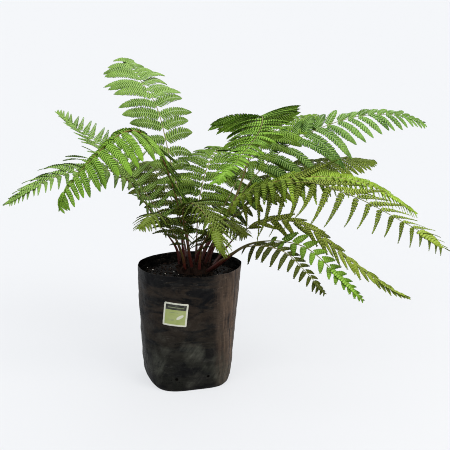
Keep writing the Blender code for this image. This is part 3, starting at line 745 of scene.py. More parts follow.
def label_material():
    """The sticker: a pale edge, a near-black band and an olive field with a plain leaf shape."""
    material, tree, shader, place = new_material("label_print")
    uv = add_node(tree, "UVMap", uv_map="print").outputs[0]
    pale = (0.62, 0.64, 0.56)
    field = add_group(tree, MOTTLE, place, Scale=60.0, Dark=(0.27, 0.335, 0.105), Light=(0.35, 0.41, 0.150))
    band = (0.016, 0.018, 0.014)
    bar = (0.20, 0.24, 0.13)
    colour = pale
    for middle, half, print_colour in (
            ((0.5, 0.5), (0.43, 0.43), field["Color"]), ((0.5, 0.815), (0.43, 0.115), band),
            ((0.5, 0.80), (0.34, 0.014), bar), ((0.42, 0.58), (0.20, 0.010), bar),
            ((0.34, 0.28), (0.12, 0.008), bar), ((0.34, 0.24), (0.12, 0.008), bar)):
        patch = add_group(tree, PATCH, uv, Middle=(*middle, 0), Half=(*half, 1))
        colour = mix_colours(tree, patch["Mask"], colour, print_colour)
    leaf = add_node(tree, "Mapping", {0: uv, 1: (0.70, 0.40, 0.0), 2: (0, 0, math.radians(35)),
                                      3: (0.17, 0.065, 1.0)}, vector_type="TEXTURE")
    size = vector_maths(tree, "LENGTH", leaf.outputs[0]).outputs["Value"]
    colour = mix_colours(tree, maths(tree, "LESS_THAN", size, 1.0), colour, pale)
    worn = add_group(tree, DUST, place, Color=colour, Scale=60.0, Dust=(0.42, 0.42, 0.36),
                     Amount=0.35, Gloss=0.35, Dull=0.55)
    crease = add_group(tree, CRINKLE, place, Scale=90.0)
    feed(tree, shader, Base_Color=worn["Color"], Roughness=worn["Roughness"],
         Normal=add_bump(tree, crease["Height"], 0.12, 0.0006))
    return material


def mottled_material(name, scale, dark, light, roughness, **sockets):
    """A material in blotches of two colours. Returns it with its tree, shader, place and blotches."""
    material, tree, shader, place = new_material(name)
    blotches = add_group(tree, MOTTLE, place, Scale=scale, Dark=dark, Light=light)
    feed(tree, shader, Base_Color=blotches["Color"], Roughness=roughness, **sockets)
    return material, tree, shader, place, blotches


def mix_material():
    """Dark, moist potting mix, darkened further as painted shade in the bag's mouth."""
    material, tree, shader, place, _ = mottled_material(
        "dark_mix_painted_shade", 160.0, (0.0004, 0.0003, 0.0003), (0.0022, 0.0015, 0.0011), 0.60,
        Specular_IOR_Level=0.05)
    feed(tree, shader, Normal=add_bump(tree, add_noise(tree, place, 700.0, 4.0), 0.7, 0.0012))
    return material


def bark_material():
    """Chips of bark in the mix, darkened as painted shade in the bag's mouth."""
    material, tree, shader, place, _ = mottled_material(
        "bark_chip", 110.0, (0.002, 0.0013, 0.0010), (0.020, 0.011, 0.007), 0.75, Specular_IOR_Level=0.1)
    grain = add_group(tree, FIBRE, place, Scale=420.0, Stretch=(1, 0.3, 1))
    feed(tree, shader, Normal=add_bump(tree, grain["Mask"], 0.6, 0.0008))
    return material


def perlite_material():
    """White puffed grains."""
    material, tree, shader, _, blotches = mottled_material(
        "perlite", 220.0, (0.40, 0.38, 0.34), (0.78, 0.77, 0.73), 0.7)
    feed(tree, shader, Normal=add_bump(tree, blotches["Mask"], 0.5, 0.0006))
    return material


def fibre_material():
    """The crown's matted, red-brown fibre."""
    material, tree, shader, place = new_material("crown_fibre")
    strands = add_group(tree, FIBRE, place, Scale=380.0, Stretch=(1, 1, 0.10))
    body = add_group(tree, MOTTLE, place, Scale=90.0, Dark=(0.004, 0.0018, 0.0012),
                     Light=(0.020, 0.008, 0.004))
    colour = mix_colours(tree, strands["Mask"], (0.008, 0.004, 0.003), body["Color"])
    feed(tree, shader, Base_Color=colour, Roughness=0.8, Specular_IOR_Level=0.1,
         Normal=add_bump(tree, strands["Mask"], 0.8, 0.0015))
    return material


def rib_material():
    """Stalk and rib: dark red-brown at the foot, then orange-brown, and green where the rib is cool.

    The leaf attribute holds the share along the frond in blue and the rib's warmth in red.
    """
    material, tree, shader, place = new_material("stalk")
    leaf = add_node(tree, "Attribute", attribute_name="leaf")
    warmth, _, along = add_node(tree, "SeparateColor", {0: leaf.outputs["Color"]}).outputs
    warm = add_ramp(tree, along, (
        (0.0, (0.018, 0.004, 0.004)), (0.12, (0.095, 0.013, 0.010)), (0.30, (0.160, 0.070, 0.018)),
        (0.60, (0.240, 0.110, 0.025)), (1.0, (0.200, 0.250, 0.060))))
    cool = add_ramp(tree, along, (
        (0.0, (0.018, 0.005, 0.004)), (0.12, (0.075, 0.016, 0.010)), (0.26, (0.120, 0.135, 0.034)),
        (0.45, (0.150, 0.210, 0.050)), (1.0, (0.190, 0.290, 0.075))))
    strands = add_group(tree, FIBRE, place, Scale=900.0, Stretch=(1, 1, 0.15))
    colour = mix_colours(tree, 0.35, mix_colours(tree, warmth, cool, warm), strands["Mask"], "MULTIPLY")
    feed(tree, shader, Base_Color=colour, Roughness=0.42,
         Normal=add_bump(tree, strands["Mask"], 0.3, 0.0004))
    return material


def hair_material():
    """Dry brown hairs at the foot of the stalks, darkened further as painted shade in the bag's mouth."""
    return mottled_material("stalk_hair", 150.0, (0.010, 0.004, 0.002), (0.060, 0.026, 0.011), 0.6,
                            Specular_IOR_Level=0.1)[0]


def leaf_material(name, deep, lit):
    """A blade: mottled green, a paler vein along each lobe, and painted shade darkening its edges.

    The leaf attribute holds 1 at a lobe's edge and 0 on its vein in red, the share from the
    leaflet's rib to the lobe's tip in green, the share along the frond in blue and a tone for each
    leaflet in alpha: random, and lower at the frond's foot, partly for age and partly as painted shade.
    """
    material, tree, shader, place = new_material(name)
    leaf = add_node(tree, "Attribute", attribute_name="leaf").outputs
    edge, out, along = add_node(tree, "SeparateColor", {0: leaf["Color"]}).outputs
    vein = tuple(1.30 * part + 0.075 for part in lit)
    # Tone and place along the frond lift or lower the mottle: lower at the foot, partly age, partly painted
    # shade.
    lift = maths(tree, "MULTIPLY_ADD", leaf["Alpha"], 0.34, -0.17)
    older_and_shaded = maths(tree, "MULTIPLY_ADD", along, 0.16, -0.08)
    colour = add_group(tree, MOTTLE, place, Scale=30.0, Dark=deep, Light=lit,
                       Lift=maths(tree, "ADD", lift, older_and_shaded))["Color"]
    # Painted shade: lobe edges darken to half the deep green, as the shade in the furrows between lobes.
    furrow_shade = tuple(0.5 * part for part in deep)
    for share, (start, first), (end, last), tint, blend in (
            (edge, (0.0, 0.85), (0.45, 0.0), vein, "MIX"),
            (along, (0.25, 0.85), (0.70, 0.0), OLD_TINT, "MULTIPLY"),
            (out, (0.0, 0.45), (0.15, 0.0), vein, "MIX"),
            (edge, (0.45, 0.0), (0.85, 0.95), furrow_shade, "MIX")):
        mask = add_ramp(tree, share, ((start, grey(first)), (end, grey(last))))
        colour = mix_colours(tree, mask, colour, tint, blend)
    feed(tree, shader, Base_Color=colour, Roughness=LEAF_ROUGHNESS, Specular_IOR_Level=0.02,
         Normal=add_bump(tree, edge, 0.5, 0.0004))
    through = add_node(tree, "BsdfTranslucent", {"Color": colour}).outputs[0]
    both = add_node(tree, "MixShader", {0: TRANSLUCENCE, 1: shader.outputs[0], 2: through}).outputs[0]
    tree.links.new(both, tree.nodes["Material Output"].inputs["Surface"])
    return material


# Camera, lights and floor

def aim(obj, target):
    """Turn an object so that it looks at a point."""
    obj.rotation_euler = (target - obj.location).to_track_quat("-Z", "Y").to_euler()


def add_camera():
    """The camera at the photograph's viewing angle."""
    data = bpy.data.cameras.new("camera")
    data.sensor_width = SENSOR_WIDTH
    data.lens = SENSOR_WIDTH * VIEW_DISTANCE / (PIXEL_SIZE * PHOTO_SIDE)
    camera = new_object("camera", data)
    angle = math.radians(VIEW_ELEVATION)
    camera.location = VIEW_TARGET + Vector((0, -math.cos(angle), math.sin(angle))) * VIEW_DISTANCE
    aim(camera, VIEW_TARGET)
    bpy.context.scene.camera = camera


def add_light(name, kind, place, strength, colour, **softness):
    """A soft light that shines from a place towards the plant."""
    data = bpy.data.lights.new(name, kind)
    data.energy = strength
    data.color = colour
    for key, value in softness.items():
        setattr(data, key, value)
    light = new_object(name, data)
    light.location = place
    aim(light, VIEW_TARGET)


def add_world():
    """A soft dome, brightest overhead. The camera sees an even pale backdrop in its place."""
    world = bpy.data.worlds.new("studio")
    world.use_nodes = True
    tree = world.node_tree
    way = add_node(tree, "SeparateXYZ", {0: tree.nodes.new("ShaderNodeTexCoord").outputs["Generated"]})
    dome = add_ramp(tree, way.outputs[2], ((0.0, grey(0.30)), (0.35, grey(0.62)), (1.0, grey(0.95))))
    seen = tree.nodes.new("ShaderNodeLightPath").outputs["Is Camera Ray"]
    tree.links.new(mix_colours(tree, seen, dome, BACKDROP), tree.nodes["Background"].inputs["Color"])
    bpy.context.scene.world = world


def add_floor():
    """A pale floor that reaches past the horizon of the view, with light shadows."""
    floor = add_primitive(
        bpy.ops.mesh.primitive_circle_add, vertices=64, radius=FLOOR_RADIUS, fill_type="NGON")
    floor.name = "floor"
    material, tree, shader, _ = new_material("pale_floor")
    seen = tree.nodes.new("ShaderNodeLightPath").outputs["Is Camera Ray"]
    feed(tree, shader, Base_Color=FLOOR_COLOUR, Roughness=0.9, Specular_IOR_Level=0.0,
         Emission_Color=BACKDROP, Emission_Strength=maths(tree, "MULTIPLY", seen, FLOOR_GLOW))
    floor.data.materials.append(material)


def add_studio():
    """A pale floor and backdrop under soft lights, the main one from the upper right front."""
    add_world()
    for name, place, spread, strength, colour in SUNS:
        add_light(name, "SUN", place, strength, colour, angle=math.radians(spread))
    add_light("side", "AREA", *SIDE_LAMP, size=SIDE_LAMP_SIZE)
    add_floor()
    scene = bpy.context.scene
    scene.view_settings.view_transform = "Standard"
    scene.cycles.filter_width = PIXEL_FILTER
    scene.cycles.denoising_prefilter = "NONE"


# The bag's film

def bag_level(z):
    """The bag's plain outside at any height, between the two nearest levels."""
    for low, high in zip(BAG_LEVELS, BAG_LEVELS[1:]):
        if z <= high.z:
            break
    share = min(max((z - low.z) / (high.z - low.z), 0.0), 1.0)
    return Level(*(a + (b - a) * share for a, b in zip(low, high)))


def plain_point(angle, z):
    """A point of the bag's plain outline."""
    level = bag_level(z)
    turn = math.radians(level.turn)
    c, s = math.cos(angle - turn), math.sin(angle - turn)
    radius = (abs(c) ** level.square + abs(s) ** level.square) ** (-1 / level.square)
    place = Matrix.Rotation(turn, 2) @ Vector((level.half_x * radius * c, level.half_y * radius * s))
    return Vector((level.mid_x + place.x, level.mid_y + place.y, z))


def crumple(angle, z):
    """How far the film stands out from its plain outline: dents, folds, pleats and hole rims."""
    place = plain_point(angle, z)
    rise = (DENTS * noise.fractal(place * DENT_SCALE, *DENT_NOISE)
            - FOLDS * ridges(*stretched(place, FOLD_SCALE))
            - PLEATS * ridges(*stretched(place, PLEAT_SCALE), 2) * fade(z, *PLEATS_START))
    if place.y < 0:
        near = math.hypot(place.x - LABEL_CENTRE.x, z - LABEL_CENTRE.z)
        rise *= LABEL_CALM + (1 - LABEL_CALM) * fade(near, *LABEL_CALM_REACH)
    rise *= FOOT_CALM + (1 - FOOT_CALM) * fade(z, 0.0, FOOT_CALM_HEIGHT)
    for turn, height in DRAIN_HOLES:
        aside = (math.degrees(angle) - turn + 180) % 360 - 180
        reach = math.hypot(math.radians(aside) * FOOT_RADIUS, z - height)
        rise += DRAIN_RIM * math.exp(-((reach - DRAIN_RIM_RADIUS) / DRAIN_RIM_WIDTH) ** 2)
    return rise


def film_point(angle, z, out=0.0):
    """A point of the crumpled film, or one that stands out from it."""
    away = way_out(angle)
    lip = LIP_WAVE * noise.noise(away * LIP_WAVES) * fade(z, BAG_HEIGHT - LIP_DEPTH, BAG_HEIGHT)
    return plain_point(angle, z) + away * (crumple(angle, z) + out) + UP * lip


def model_bag():
    """The bag: rings of film shaped on the bag's outline, closed below and cut by drain holes."""
    bag = add_primitive(
        bpy.ops.mesh.primitive_cylinder_add, vertices=BAG_SIDES, radius=BAG_START, depth=BAG_HEIGHT,
        end_fill_type="NOTHING", location=(0, 0, BAG_HEIGHT / 2))
    cut_along(bag, Z_AXIS, BAG_RINGS - 1)
    for vertex in bag.data.vertices:
        vertex.co = film_point(math.atan2(vertex.co.y, vertex.co.x), vertex.co.z)
    edit(bag)
    pick(bag, lambda co: co.z < LEVEL_SLACK)
    middle = (BAG_LEVELS[0].mid_x, BAG_LEVELS[0].mid_y, 0)
    for share in BAG_FLOOR_RINGS:
        bpy.ops.mesh.extrude_region_move()
        bpy.ops.transform.resize(value=(share, share, 1), center_override=middle)
    bpy.ops.mesh.merge(type="CENTER")
    close_edit()
    apply_modifier(bag, "SOLIDIFY", thickness=FILM, offset=-1.0)
    holes = []
    for turn, height in DRAIN_HOLES:
        angle = math.radians(turn)
        holes.append(add_primitive(
            bpy.ops.mesh.primitive_cylinder_add, vertices=16, radius=DRAIN_RADIUS, depth=CUTTER_LENGTH,
            rotation=(0, math.pi / 2, angle),
            location=plain_point(angle, height) + way_out(angle) * CUTTER_OUT))
    cutter = join("drain_cutter", holes)
    apply_modifier(bag, "BOOLEAN", object=cutter, operation="DIFFERENCE", solver="EXACT")
    discard([cutter])
    bag.name = "bag_film"
    smooth(bag, 50)
    return bag


def model_label():
    """The sticker: a fine grid with round corners, laid on the film."""
    label = add_primitive(
        bpy.ops.mesh.primitive_grid_add, x_subdivisions=LABEL_GRID, y_subdivisions=LABEL_GRID, size=1,
        calc_uvs=True)
    label.name = "bag_label"
    label.data.uv_layers[0].name = "print"
    core = 0.5 - LABEL_CORNER
    tilt = Matrix.Rotation(-math.radians(LABEL_TILT), 2)
    for vertex in label.data.vertices:
        flat = vertex.co.xy
        inner = Vector((min(max(flat.x, -core), core), min(max(flat.y, -core), core)))
        corner = flat - inner
        if corner.length > LABEL_CORNER:
            flat = inner + corner * (LABEL_CORNER / corner.length)
        place = tilt @ (flat * LABEL_SIZE)
        x, z = LABEL_CENTRE.x + place.x, LABEL_CENTRE.z + place.y
        radius = LABEL_START
        for _ in range(LABEL_ROUNDS):
            angle = math.atan2(-math.sqrt(radius ** 2 - x ** 2), x)
            radius = film_point(angle, z).xy.length
        vertex.co = film_point(angle, z, LABEL_GAP)
    apply_modifier(label, "SOLIDIFY", thickness=LABEL_WALL, offset=1.0)
    smooth(label, 40)
    return label


# The mix and the crown

def scatter(template, draw, count, low, high, place):
    """Copies of a template, each turned and sized at random, at places from a function."""
    points = points_of(template)
    copies = []
    for _ in range(count):
        size = draw.uniform(low, high)
        turn = Matrix.Rotation(draw.uniform(0, math.tau), 4, "Z") @ Matrix.Rotation(
            draw.uniform(0, math.tau), 4, "X")
        stretch = Matrix.Diagonal((*(draw.uniform(*limits) for limits in STONE_STRETCH), 1))
        matrix = Matrix.Translation(place(draw)) @ turn @ Matrix.Scale(size, 4) @ stretch
        copies.append(add_copy(template, moved(points, matrix)))
    return copies


def mix_height(x, y):
    """The height of the mix's surface: a low mound with lumps."""
    reach = math.hypot(x, y) / MIX_RADIUS
    mound = MIX_MOUND * (1 - fade(reach, *MOUND_EDGE))
    lumps = MIX_LUMPS * noise.fractal(Vector((x * LUMP_SCALE, y * LUMP_SCALE, LUMP_SLICE)), *LUMP_NOISE)
    return MIX_TOP + mound + lumps - MIX_SINK * fade(reach, *SINK_EDGE)


def place_on_mix(draw):
    """A random place on the mix's surface."""
    angle = draw.uniform(0, math.tau)
    reach = SCATTER_RADIUS * math.sqrt(draw.uniform(0.0, 1.0))
    x, y = reach * math.cos(angle), reach * math.sin(angle)
    return Vector((x, y, mix_height(x, y)))


def rough_stone(name, material, seed):
    """A small angular grain."""
    grain = add_primitive(bpy.ops.mesh.primitive_ico_sphere_add, subdivisions=1, radius=1)
    grain.name = name
    draw = random.Random(seed)
    for vertex in grain.data.vertices:
        vertex.co *= draw.uniform(*STONE_RADIUS)
    grain.data.materials.append(material)
    return grain


def model_mix():
    """The potting mix: a lumpy surface, bark chips and perlite, and a body down to the bag's floor."""
    mix = add_primitive(
        bpy.ops.mesh.primitive_cylinder_add, vertices=MIX_SIDES, radius=MIX_START,
        depth=MIX_TOP - MIX_FLOOR, end_fill_type="NGON", location=(0, 0, (MIX_TOP + MIX_FLOOR) / 2))
    cut_along(mix, Z_AXIS, MIX_WALL_CUTS)
    edit(mix)
    pick(mix, lambda co: co.z > MIX_TOP - LEVEL_SLACK)
    for i in range(MIX_RINGS, 1, -1):
        share = (i - 1) / i
        bpy.ops.mesh.extrude_region_move()
        bpy.ops.transform.resize(value=(share, share, 1), center_override=(0, 0, MIX_TOP))
    close_edit()
    for vertex in mix.data.vertices:
        x, y, z = vertex.co
        angle = math.atan2(y, x)
        if z < MIX_TOP - LEVEL_SLACK:
            vertex.co = film_point(angle, z, -FILM - MIX_GAP)
        else:
            edge = film_point(angle, MIX_TOP, -FILM - MIX_EDGE_GAP)
            vertex.co.xy = edge.xy * (math.hypot(x, y) / MIX_START)
            vertex.co.z = mix_height(vertex.co.x, vertex.co.y)
    soil = mix_material()
    mix.data.materials.append(soil)
    draw = random.Random(SEED)
    pieces = [mix]
    looks = {"chip": bark_material(), "crumb": soil, "grain": perlite_material()}
    for seed, (name, material) in enumerate(looks.items(), 1):
        stone = rough_stone(name, material, seed)
        pieces += scatter(stone, draw, *GRAINS[name], place_on_mix)
        discard([stone])
    mix = join("mix_surface", pieces)
    smooth(mix, 35)
    return mix


def model_cone(sides, tip, material):
    """A template a unit long and a unit wide at its foot, which narrows to its tip."""
    cone = add_primitive(bpy.ops.mesh.primitive_cone_add, vertices=sides, radius1=1, radius2=tip,
                         depth=1, location=(0, 0, 0.5))
    cone.data.materials.append(material)
    return cone


def crown_foot(angle, share, across, up, sink):
    """A foot in the crown: a place on its dome, drawn in across and up, then lowered."""
    foot = CROWN_CENTRE + way_out(angle) * CROWN_RADIUS * share * across
    foot.z = MIX_TOP + CROWN_RISE * math.sqrt(max(1 - share ** 2, 0.0)) * up - sink
    return foot


def stand_on_crown(template, foot, turn, tilt, size):
    """A copy of a template with its foot in the crown, turned and tilted away from upright."""
    lean = Matrix.Rotation(turn, 4, "Z") @ Matrix.Rotation(tilt, 4, "Y")
    place = Matrix.Translation(foot) @ lean @ Matrix.Diagonal((*size, 1))
    return add_copy(template, moved(points_of(template), place))


def model_crown():
    """The crown: a fibrous dome with the stubs of old stalks and dry hairs."""
    dome = add_primitive(bpy.ops.mesh.primitive_uv_sphere_add, segments=56, ring_count=28, radius=1)
    edit(dome)
    bpy.ops.mesh.select_all(action="SELECT")
    bpy.ops.mesh.bisect(plane_co=(0, 0, CROWN_CUT), plane_no=(0, 0, -1), clear_outer=True,
                        use_fill=True)
    bpy.ops.object.mode_set(mode="OBJECT")
    for vertex in dome.data.vertices:
        x, y, z = vertex.co
        size = 1 - CROWN_GROOVES * ridges(*stretched(vertex.co, GROOVE_SCALE))
        vertex.co = Vector((x * CROWN_RADIUS * size, y * CROWN_RADIUS * size,
                            MIX_TOP + z * CROWN_RISE * size)) + CROWN_CENTRE
    fibre = fibre_material()
    dome.data.materials.append(fibre)
    draw = random.Random(SEED + 1)
    stub = model_cone(8, STUB_TIP, fibre)
    hair = model_cone(3, HAIR_TIP, hair_material())
    pieces = [dome]
    for i in range(STUBS):
        angle = math.tau * i * GOLDEN_TURN + stray(draw, STUB_STRAY)
        share = draw.uniform(*STUB_REACH)
        foot = crown_foot(angle, share, *STUB_FOOT)
        tilt = math.radians(draw.uniform(*STUB_TILT)) * share
        wide = draw.uniform(*STUB_RADIUS)
        size = (wide, wide * STUB_FLAT, draw.uniform(*STUB_LENGTH))
        pieces.append(stand_on_crown(stub, foot, angle, tilt, size))
    for _ in range(HAIRS):
        angle = draw.uniform(0, math.tau)
        share = math.sqrt(draw.uniform(0, 1))
        foot = crown_foot(angle, share, *HAIR_FOOT)
        turn = angle + stray(draw, HAIR_STRAY)
        tilt = math.radians(draw.uniform(*HAIR_TILT))
        size = (HAIR_RADIUS, HAIR_RADIUS, draw.uniform(*HAIR_LENGTH))
        pieces.append(stand_on_crown(hair, foot, turn, tilt, size))
    discard([stub, hair])
    crown = join("crown_fibre", pieces)
    smooth(crown, 45)
    return crown


# Leaflets

def write_leaf_data(obj, values):
    """Write the leaf attribute of an object, one row of four numbers for each point."""
    data = obj.data.attributes.get("leaf") or obj.data.attributes.new("leaf", "FLOAT_COLOR", "POINT")
    data.data.foreach_set("color", np.asarray(values, np.float32).ravel())


def read_leaf_data(obj):
    """Read the leaf attribute of an object."""
    values = np.empty(len(obj.data.vertices) * 4, np.float32)
    obj.data.attributes["leaf"].data.foreach_get("color", values)
    return values.reshape(-1, 4)


def on_fold(co):
    """Whether a point of the lobe lies on its folded vein, short of the tip."""
    return abs(co.y) < ON_VEIN and co.x < AT_TIP


def model_lobe():
    """One lobe of a leaflet, a unit long and a unit wide: a thin oblong blade folded along its vein."""
    lobe = add_primitive(
        bpy.ops.mesh.primitive_grid_add, x_subdivisions=3, y_subdivisions=2, size=1, location=(0.5, 0, 0))
    lobe.name = "lobe"
    edit(lobe)
    pick(lobe, lambda co: co.x > 0.9)
    bpy.ops.mesh.merge(type="CENTER")
    for low, high, along, narrow in ((0.5, 0.9, 0.14, 0.84), (0.2, 0.5, 0.08, 0.97)):
        pick(lobe, lambda co: low < co.x < high)
        bpy.ops.transform.translate(value=(along, 0, 0))
        bpy.ops.transform.resize(value=(1, narrow, 1), center_override=(0, 0, 0))
    pick(lobe, on_fold)
    bpy.ops.transform.translate(value=(0, 0, LOBE_FOLD))
    bpy.ops.mesh.select_all(action="SELECT")
    bpy.ops.mesh.duplicate()
    bpy.ops.mesh.flip_normals()
    pick(lobe, on_fold, among=True)
    bpy.ops.transform.translate(value=(0, 0, -LOBE_WALL))
    bpy.ops.mesh.select_all(action="SELECT")
    bpy.ops.mesh.remove_doubles(threshold=0.001)
    bpy.ops.mesh.fill_holes(sides=4)
    close_edit()
    places = points_of(lobe)
    edge = (np.abs(places[:, 1]) > ON_VEIN) | (places[:, 0] > AT_TIP)
    write_leaf_data(lobe, np.stack([edge, places[:, 0], places[:, 0] * 0, places[:, 0] * 0], axis=1))
    return lobe


def lobe_size(share, length, family):
    """How long a lobe is at a share of the leaflet: much the same at first, then less."""
    longest = min(family.longest, family.growth * length + LOBE_LEAST)
    near = min(FIRST_LOBE + LOBE_GROWS * share, 1.0)
    far = 1 - (max(share - family.full, 0.0) / (1 - family.full)) ** family.power
    return longest * near * far + LOBE_END


def model_leaflet_rib(length, cuts):
    """The thin rib of a leaflet, along X from its root."""
    rib = add_primitive(
        bpy.ops.mesh.primitive_cylinder_add, vertices=5, radius=1, depth=1, end_fill_type="NGON",
        rotation=(0, math.pi / 2, 0), location=(0.5, 0, 0))
    cut_along(rib, X_AXIS, cuts)
    places = points_of(rib)
    grown = min(1.0, LEAFLET_RIB_LEAST + length / LEAFLET_RIB_GROWN)
    taper = LEAFLET_RIB * (1 - LEAFLET_RIB_LOSS * places[:, :1]) * grown
    along = places[:, :1] * length * LEAFLET_RIB_LENGTH
    set_points(rib, np.concatenate([along, places[:, 1:] * taper], axis=1))
    write_leaf_data(rib, np.zeros((len(places), 4)))
    return rib


def model_leaflet(length, family, lobe, draw):
    """A leaflet along X with its root at the origin: lobes on both sides of a thin rib."""
    lobe_points, lobe_data = points_of(lobe), read_leaf_data(lobe)
    young = 1 - fade(length, *GROWN)
    count = max(round(length * LOBED / family.spacing / (1 - CLOSER_YOUNG * young)), 3)
    step = length * LOBED / count
    pieces = []
    for i in range(count):
        share = (i + 0.7) / count * LOBED
        merged = max(MERGE_YOUNG * young, fade(share, *MERGE_REACH))
        data = lobe_data.copy()
        data[:, 0] = PLAIN_LOBE + (data[:, 0] - PLAIN_LOBE) * (1 - merged)
        for hand in (-1, 1):
            out = lobe_size(share, length, family) * draw.uniform(*LOBE_STRAY)
            swing = LOBE_SWING - LOBE_CLOSES * share + stray(draw, LOBE_SWING_STRAY)
            turn = Matrix.Rotation(hand * math.radians(swing), 4, "Z")
            bent = lobe_points.copy()
            bent[:, 2] -= LOBE_BEND * bent[:, 0] ** 2 * out / step
            lean = Matrix.Rotation(stray(draw, LOBE_LEAN_STRAY), 4, "X")
            wide = step * family.wide * (1 + MERGE_WIDER * merged)
            size = Matrix.Diagonal((out, wide, step * LOBE_HEIGHT, 1))
            place = Matrix.Translation((share * length, 0, 0)) @ turn @ lean @ size
            pieces.append(add_copy(lobe, moved(bent, place)))
            write_leaf_data(pieces[-1], data)
    end = Matrix.Diagonal((length * END_LENGTH, step * END_WIDTH, step * END_WIDTH, 1))
    start = Matrix.Translation((length * END_START, 0, 0))
    pieces.append(add_copy(lobe, moved(lobe_points, start @ end)))
    rib = model_leaflet_rib(length, max(count // 2, 3))
    return join(f"leaflet_{round(length / MM)}", [rib] + pieces)


def model_leaflets():
    """A leaflet of each family and size, to be copied along the fronds."""
    lobe = model_lobe()
    draw = random.Random(SEED + 2)
    leaflets = {}
    for name, family in FAMILIES.items():
        for length in LEAFLET_SIZES:
            leaflet = model_leaflet(length, family, lobe, draw)
            smooth(leaflet, 60)
            leaflets[name, length] = (leaflet, points_of(leaflet), read_leaf_data(leaflet))
    discard([lobe])
    return leaflets


def nearest_leaflet(leaflets, family, length):
    """The template of a family that is nearest to a length: its object, points and leaf data."""
    return leaflets[family, min(LEAFLET_SIZES, key=lambda size: abs(size - length))]


# Fronds

class Rib:
    """The smooth line of a frond's rib, read by the share of its length."""

    def __init__(self, frond):
        points = np.array(frond.route, float) * MM
        ends = np.vstack([2 * points[0] - points[1], points, 2 * points[-1] - points[-2]])
        t = np.arange(1, ROUTE_STEPS + 1)[:, None] / ROUTE_STEPS
        line = [points[:1]]
        for a, b, c, d in zip(ends, ends[1:], ends[2:], ends[3:]):
            line.append(0.5 * (2 * b + (c - a) * t + (2 * a - 5 * b + 4 * c - d) * t ** 2
                               + (3 * b - a - 3 * c + d) * t ** 3))
        self.line = np.vstack(line)
        steps = np.linalg.norm(np.diff(self.line, axis=0), axis=1)
        self.run = np.concatenate([[0.0], np.cumsum(steps)])
        self.length = self.run[-1]
        self.roll = math.radians(frond.roll)
        across = points[-1] - points[0]
        self.heading = Vector((across[0], across[1], 0)).normalized()

    def point(self, share):
        """The point at a share of the length."""
        want = min(max(share, 0.0), 1.0) * self.length
        return Vector([np.interp(want, self.run, self.line[:, k]) for k in range(3)])

    def tangent(self, share):
        """The direction of the line."""
        return (self.point(min(share + 0.01, 1.0)) - self.point(max(share - 0.01, 0.0))).normalized()

    def axes(self, share):
        """The blade's sideways direction and its normal."""
        tangent = self.tangent(share)
        level = Vector((tangent.x, tangent.y, 0)) + self.heading * HEADING_PULL
        side = Vector((level.y, -level.x, 0))
        side = (side - tangent * side.dot(tangent)).normalized()
        normal = side.cross(tangent).normalized()
        turn = Matrix.Rotation(self.roll * min(share * ROLL_GROWS, 1.0), 3, tangent)
        return turn @ side, turn @ normal


def rib_half_width(frond, share):
    """Half the width of a frond's stalk or rib at a share of its length."""
    if share < frond.bare:
        return STALK_HALF_WIDTH + (RIB_HALF_WIDTH - STALK_HALF_WIDTH) * (share / frond.bare) ** 1.5
    return RIB_HALF_WIDTH + (TIP_HALF_WIDTH - RIB_HALF_WIDTH) * (share - frond.bare) / (1 - frond.bare)


def pair_share(frond, number):
    """Where a pair of leaflets sits along the rib. Pairs draw closer towards the tip."""
    left = 1 - (number + 0.5) / frond.pairs
    return 1 - (1 - frond.bare) * left ** SPACING_TAPER


def leaflet_length(frond, number):
    """Length of a leaflet: short at the blade's foot, longest where the blade is widest."""
    along = number / (frond.pairs - 1)
    if along < frond.widest:
        share = FOOT_LEAFLET + (1 - FOOT_LEAFLET) * math.sin(math.pi / 2 * along / frond.widest)
    else:
        share = 1 - (1 - TIP_LEAFLET) * ((along - frond.widest) / (1 - frond.widest)) ** frond.fade
    return frond.longest * MM * share


def model_rib(frond, rib, materials):
    """The stalk and rib: a round, tapering tube with closed ends."""
    curve = bpy.data.curves.new(frond.name, "CURVE")
    curve.dimensions = "3D"
    curve.bevel_depth = 1.0
    curve.bevel_resolution = 2
    curve.use_fill_caps = True
    spline = curve.splines.new("POLY")
    spline.points.add(RIB_STATIONS - 1)
    for i, point in enumerate(spline.points):
        share = i / (RIB_STATIONS - 1)
        point.co = (*rib.point(share), 1)
        point.radius = rib_half_width(frond, share)
    choose(new_object(frond.name, curve))
    bpy.ops.object.convert(target="MESH")
    tube = bpy.context.object
    edit(tube)
    bpy.ops.mesh.select_all(action="SELECT")
    bpy.ops.mesh.remove_doubles(threshold=0.00001)
    close_edit()
    places = points_of(tube)
    nearest = np.linalg.norm(places[:, None, :] - rib.line[None], axis=2).argmin(axis=1)
    share = rib.run[nearest] / rib.length
    write_leaf_data(tube, np.stack(
        [share * 0 + frond.warmth, share * 0, share, share * 0 + 0.5], axis=1))
    wear(tube, materials)
    for face in tube.data.polygons:
        face.material_index = STALK_SLOT
    return tube


def lay_leaflet(template, rib, share, hand, length, side, fold, width):
    """Copy a leaflet onto the rib: it leaves at an angle, sinks and curls towards the tip."""
    leaflet, points, _ = template
    size = points[:, 0].max()
    s = (points[:, 0] / size)[:, None]
    outward, normal = (np.array(axis) for axis in rib.axes(share))
    tangent = np.array(rib.tangent(share))
    start = np.array(rib.point(share))
    angle = math.radians(side.swing)
    straight = tangent * math.cos(angle) + outward * hand * math.sin(angle) + normal * side.lift
    straight /= np.linalg.norm(straight)
    down = np.array((0.0, 0.0, -1.0))
    line = start + length * (straight * s + down * side.droop * s ** 2 + tangent * side.curl * s ** 3)
    way = straight + down * 2 * side.droop * s + tangent * 3 * side.curl * s ** 2
    way /= np.linalg.norm(way, axis=1, keepdims=True)
    across = tangent - way * (way @ tangent)[:, None]
    across *= hand / np.linalg.norm(across, axis=1, keepdims=True)
    turn = side.twist * np.sqrt(s)
    wide = across * np.cos(turn) + np.cross(way, across) * np.sin(turn)
    high = np.cross(way, wide)
    scale = length / size
    y = points[:, 1:2] * scale * width
    z = points[:, 2:3] * scale - fold * np.abs(y)
    return add_copy(leaflet, line + wide * y + high * z)


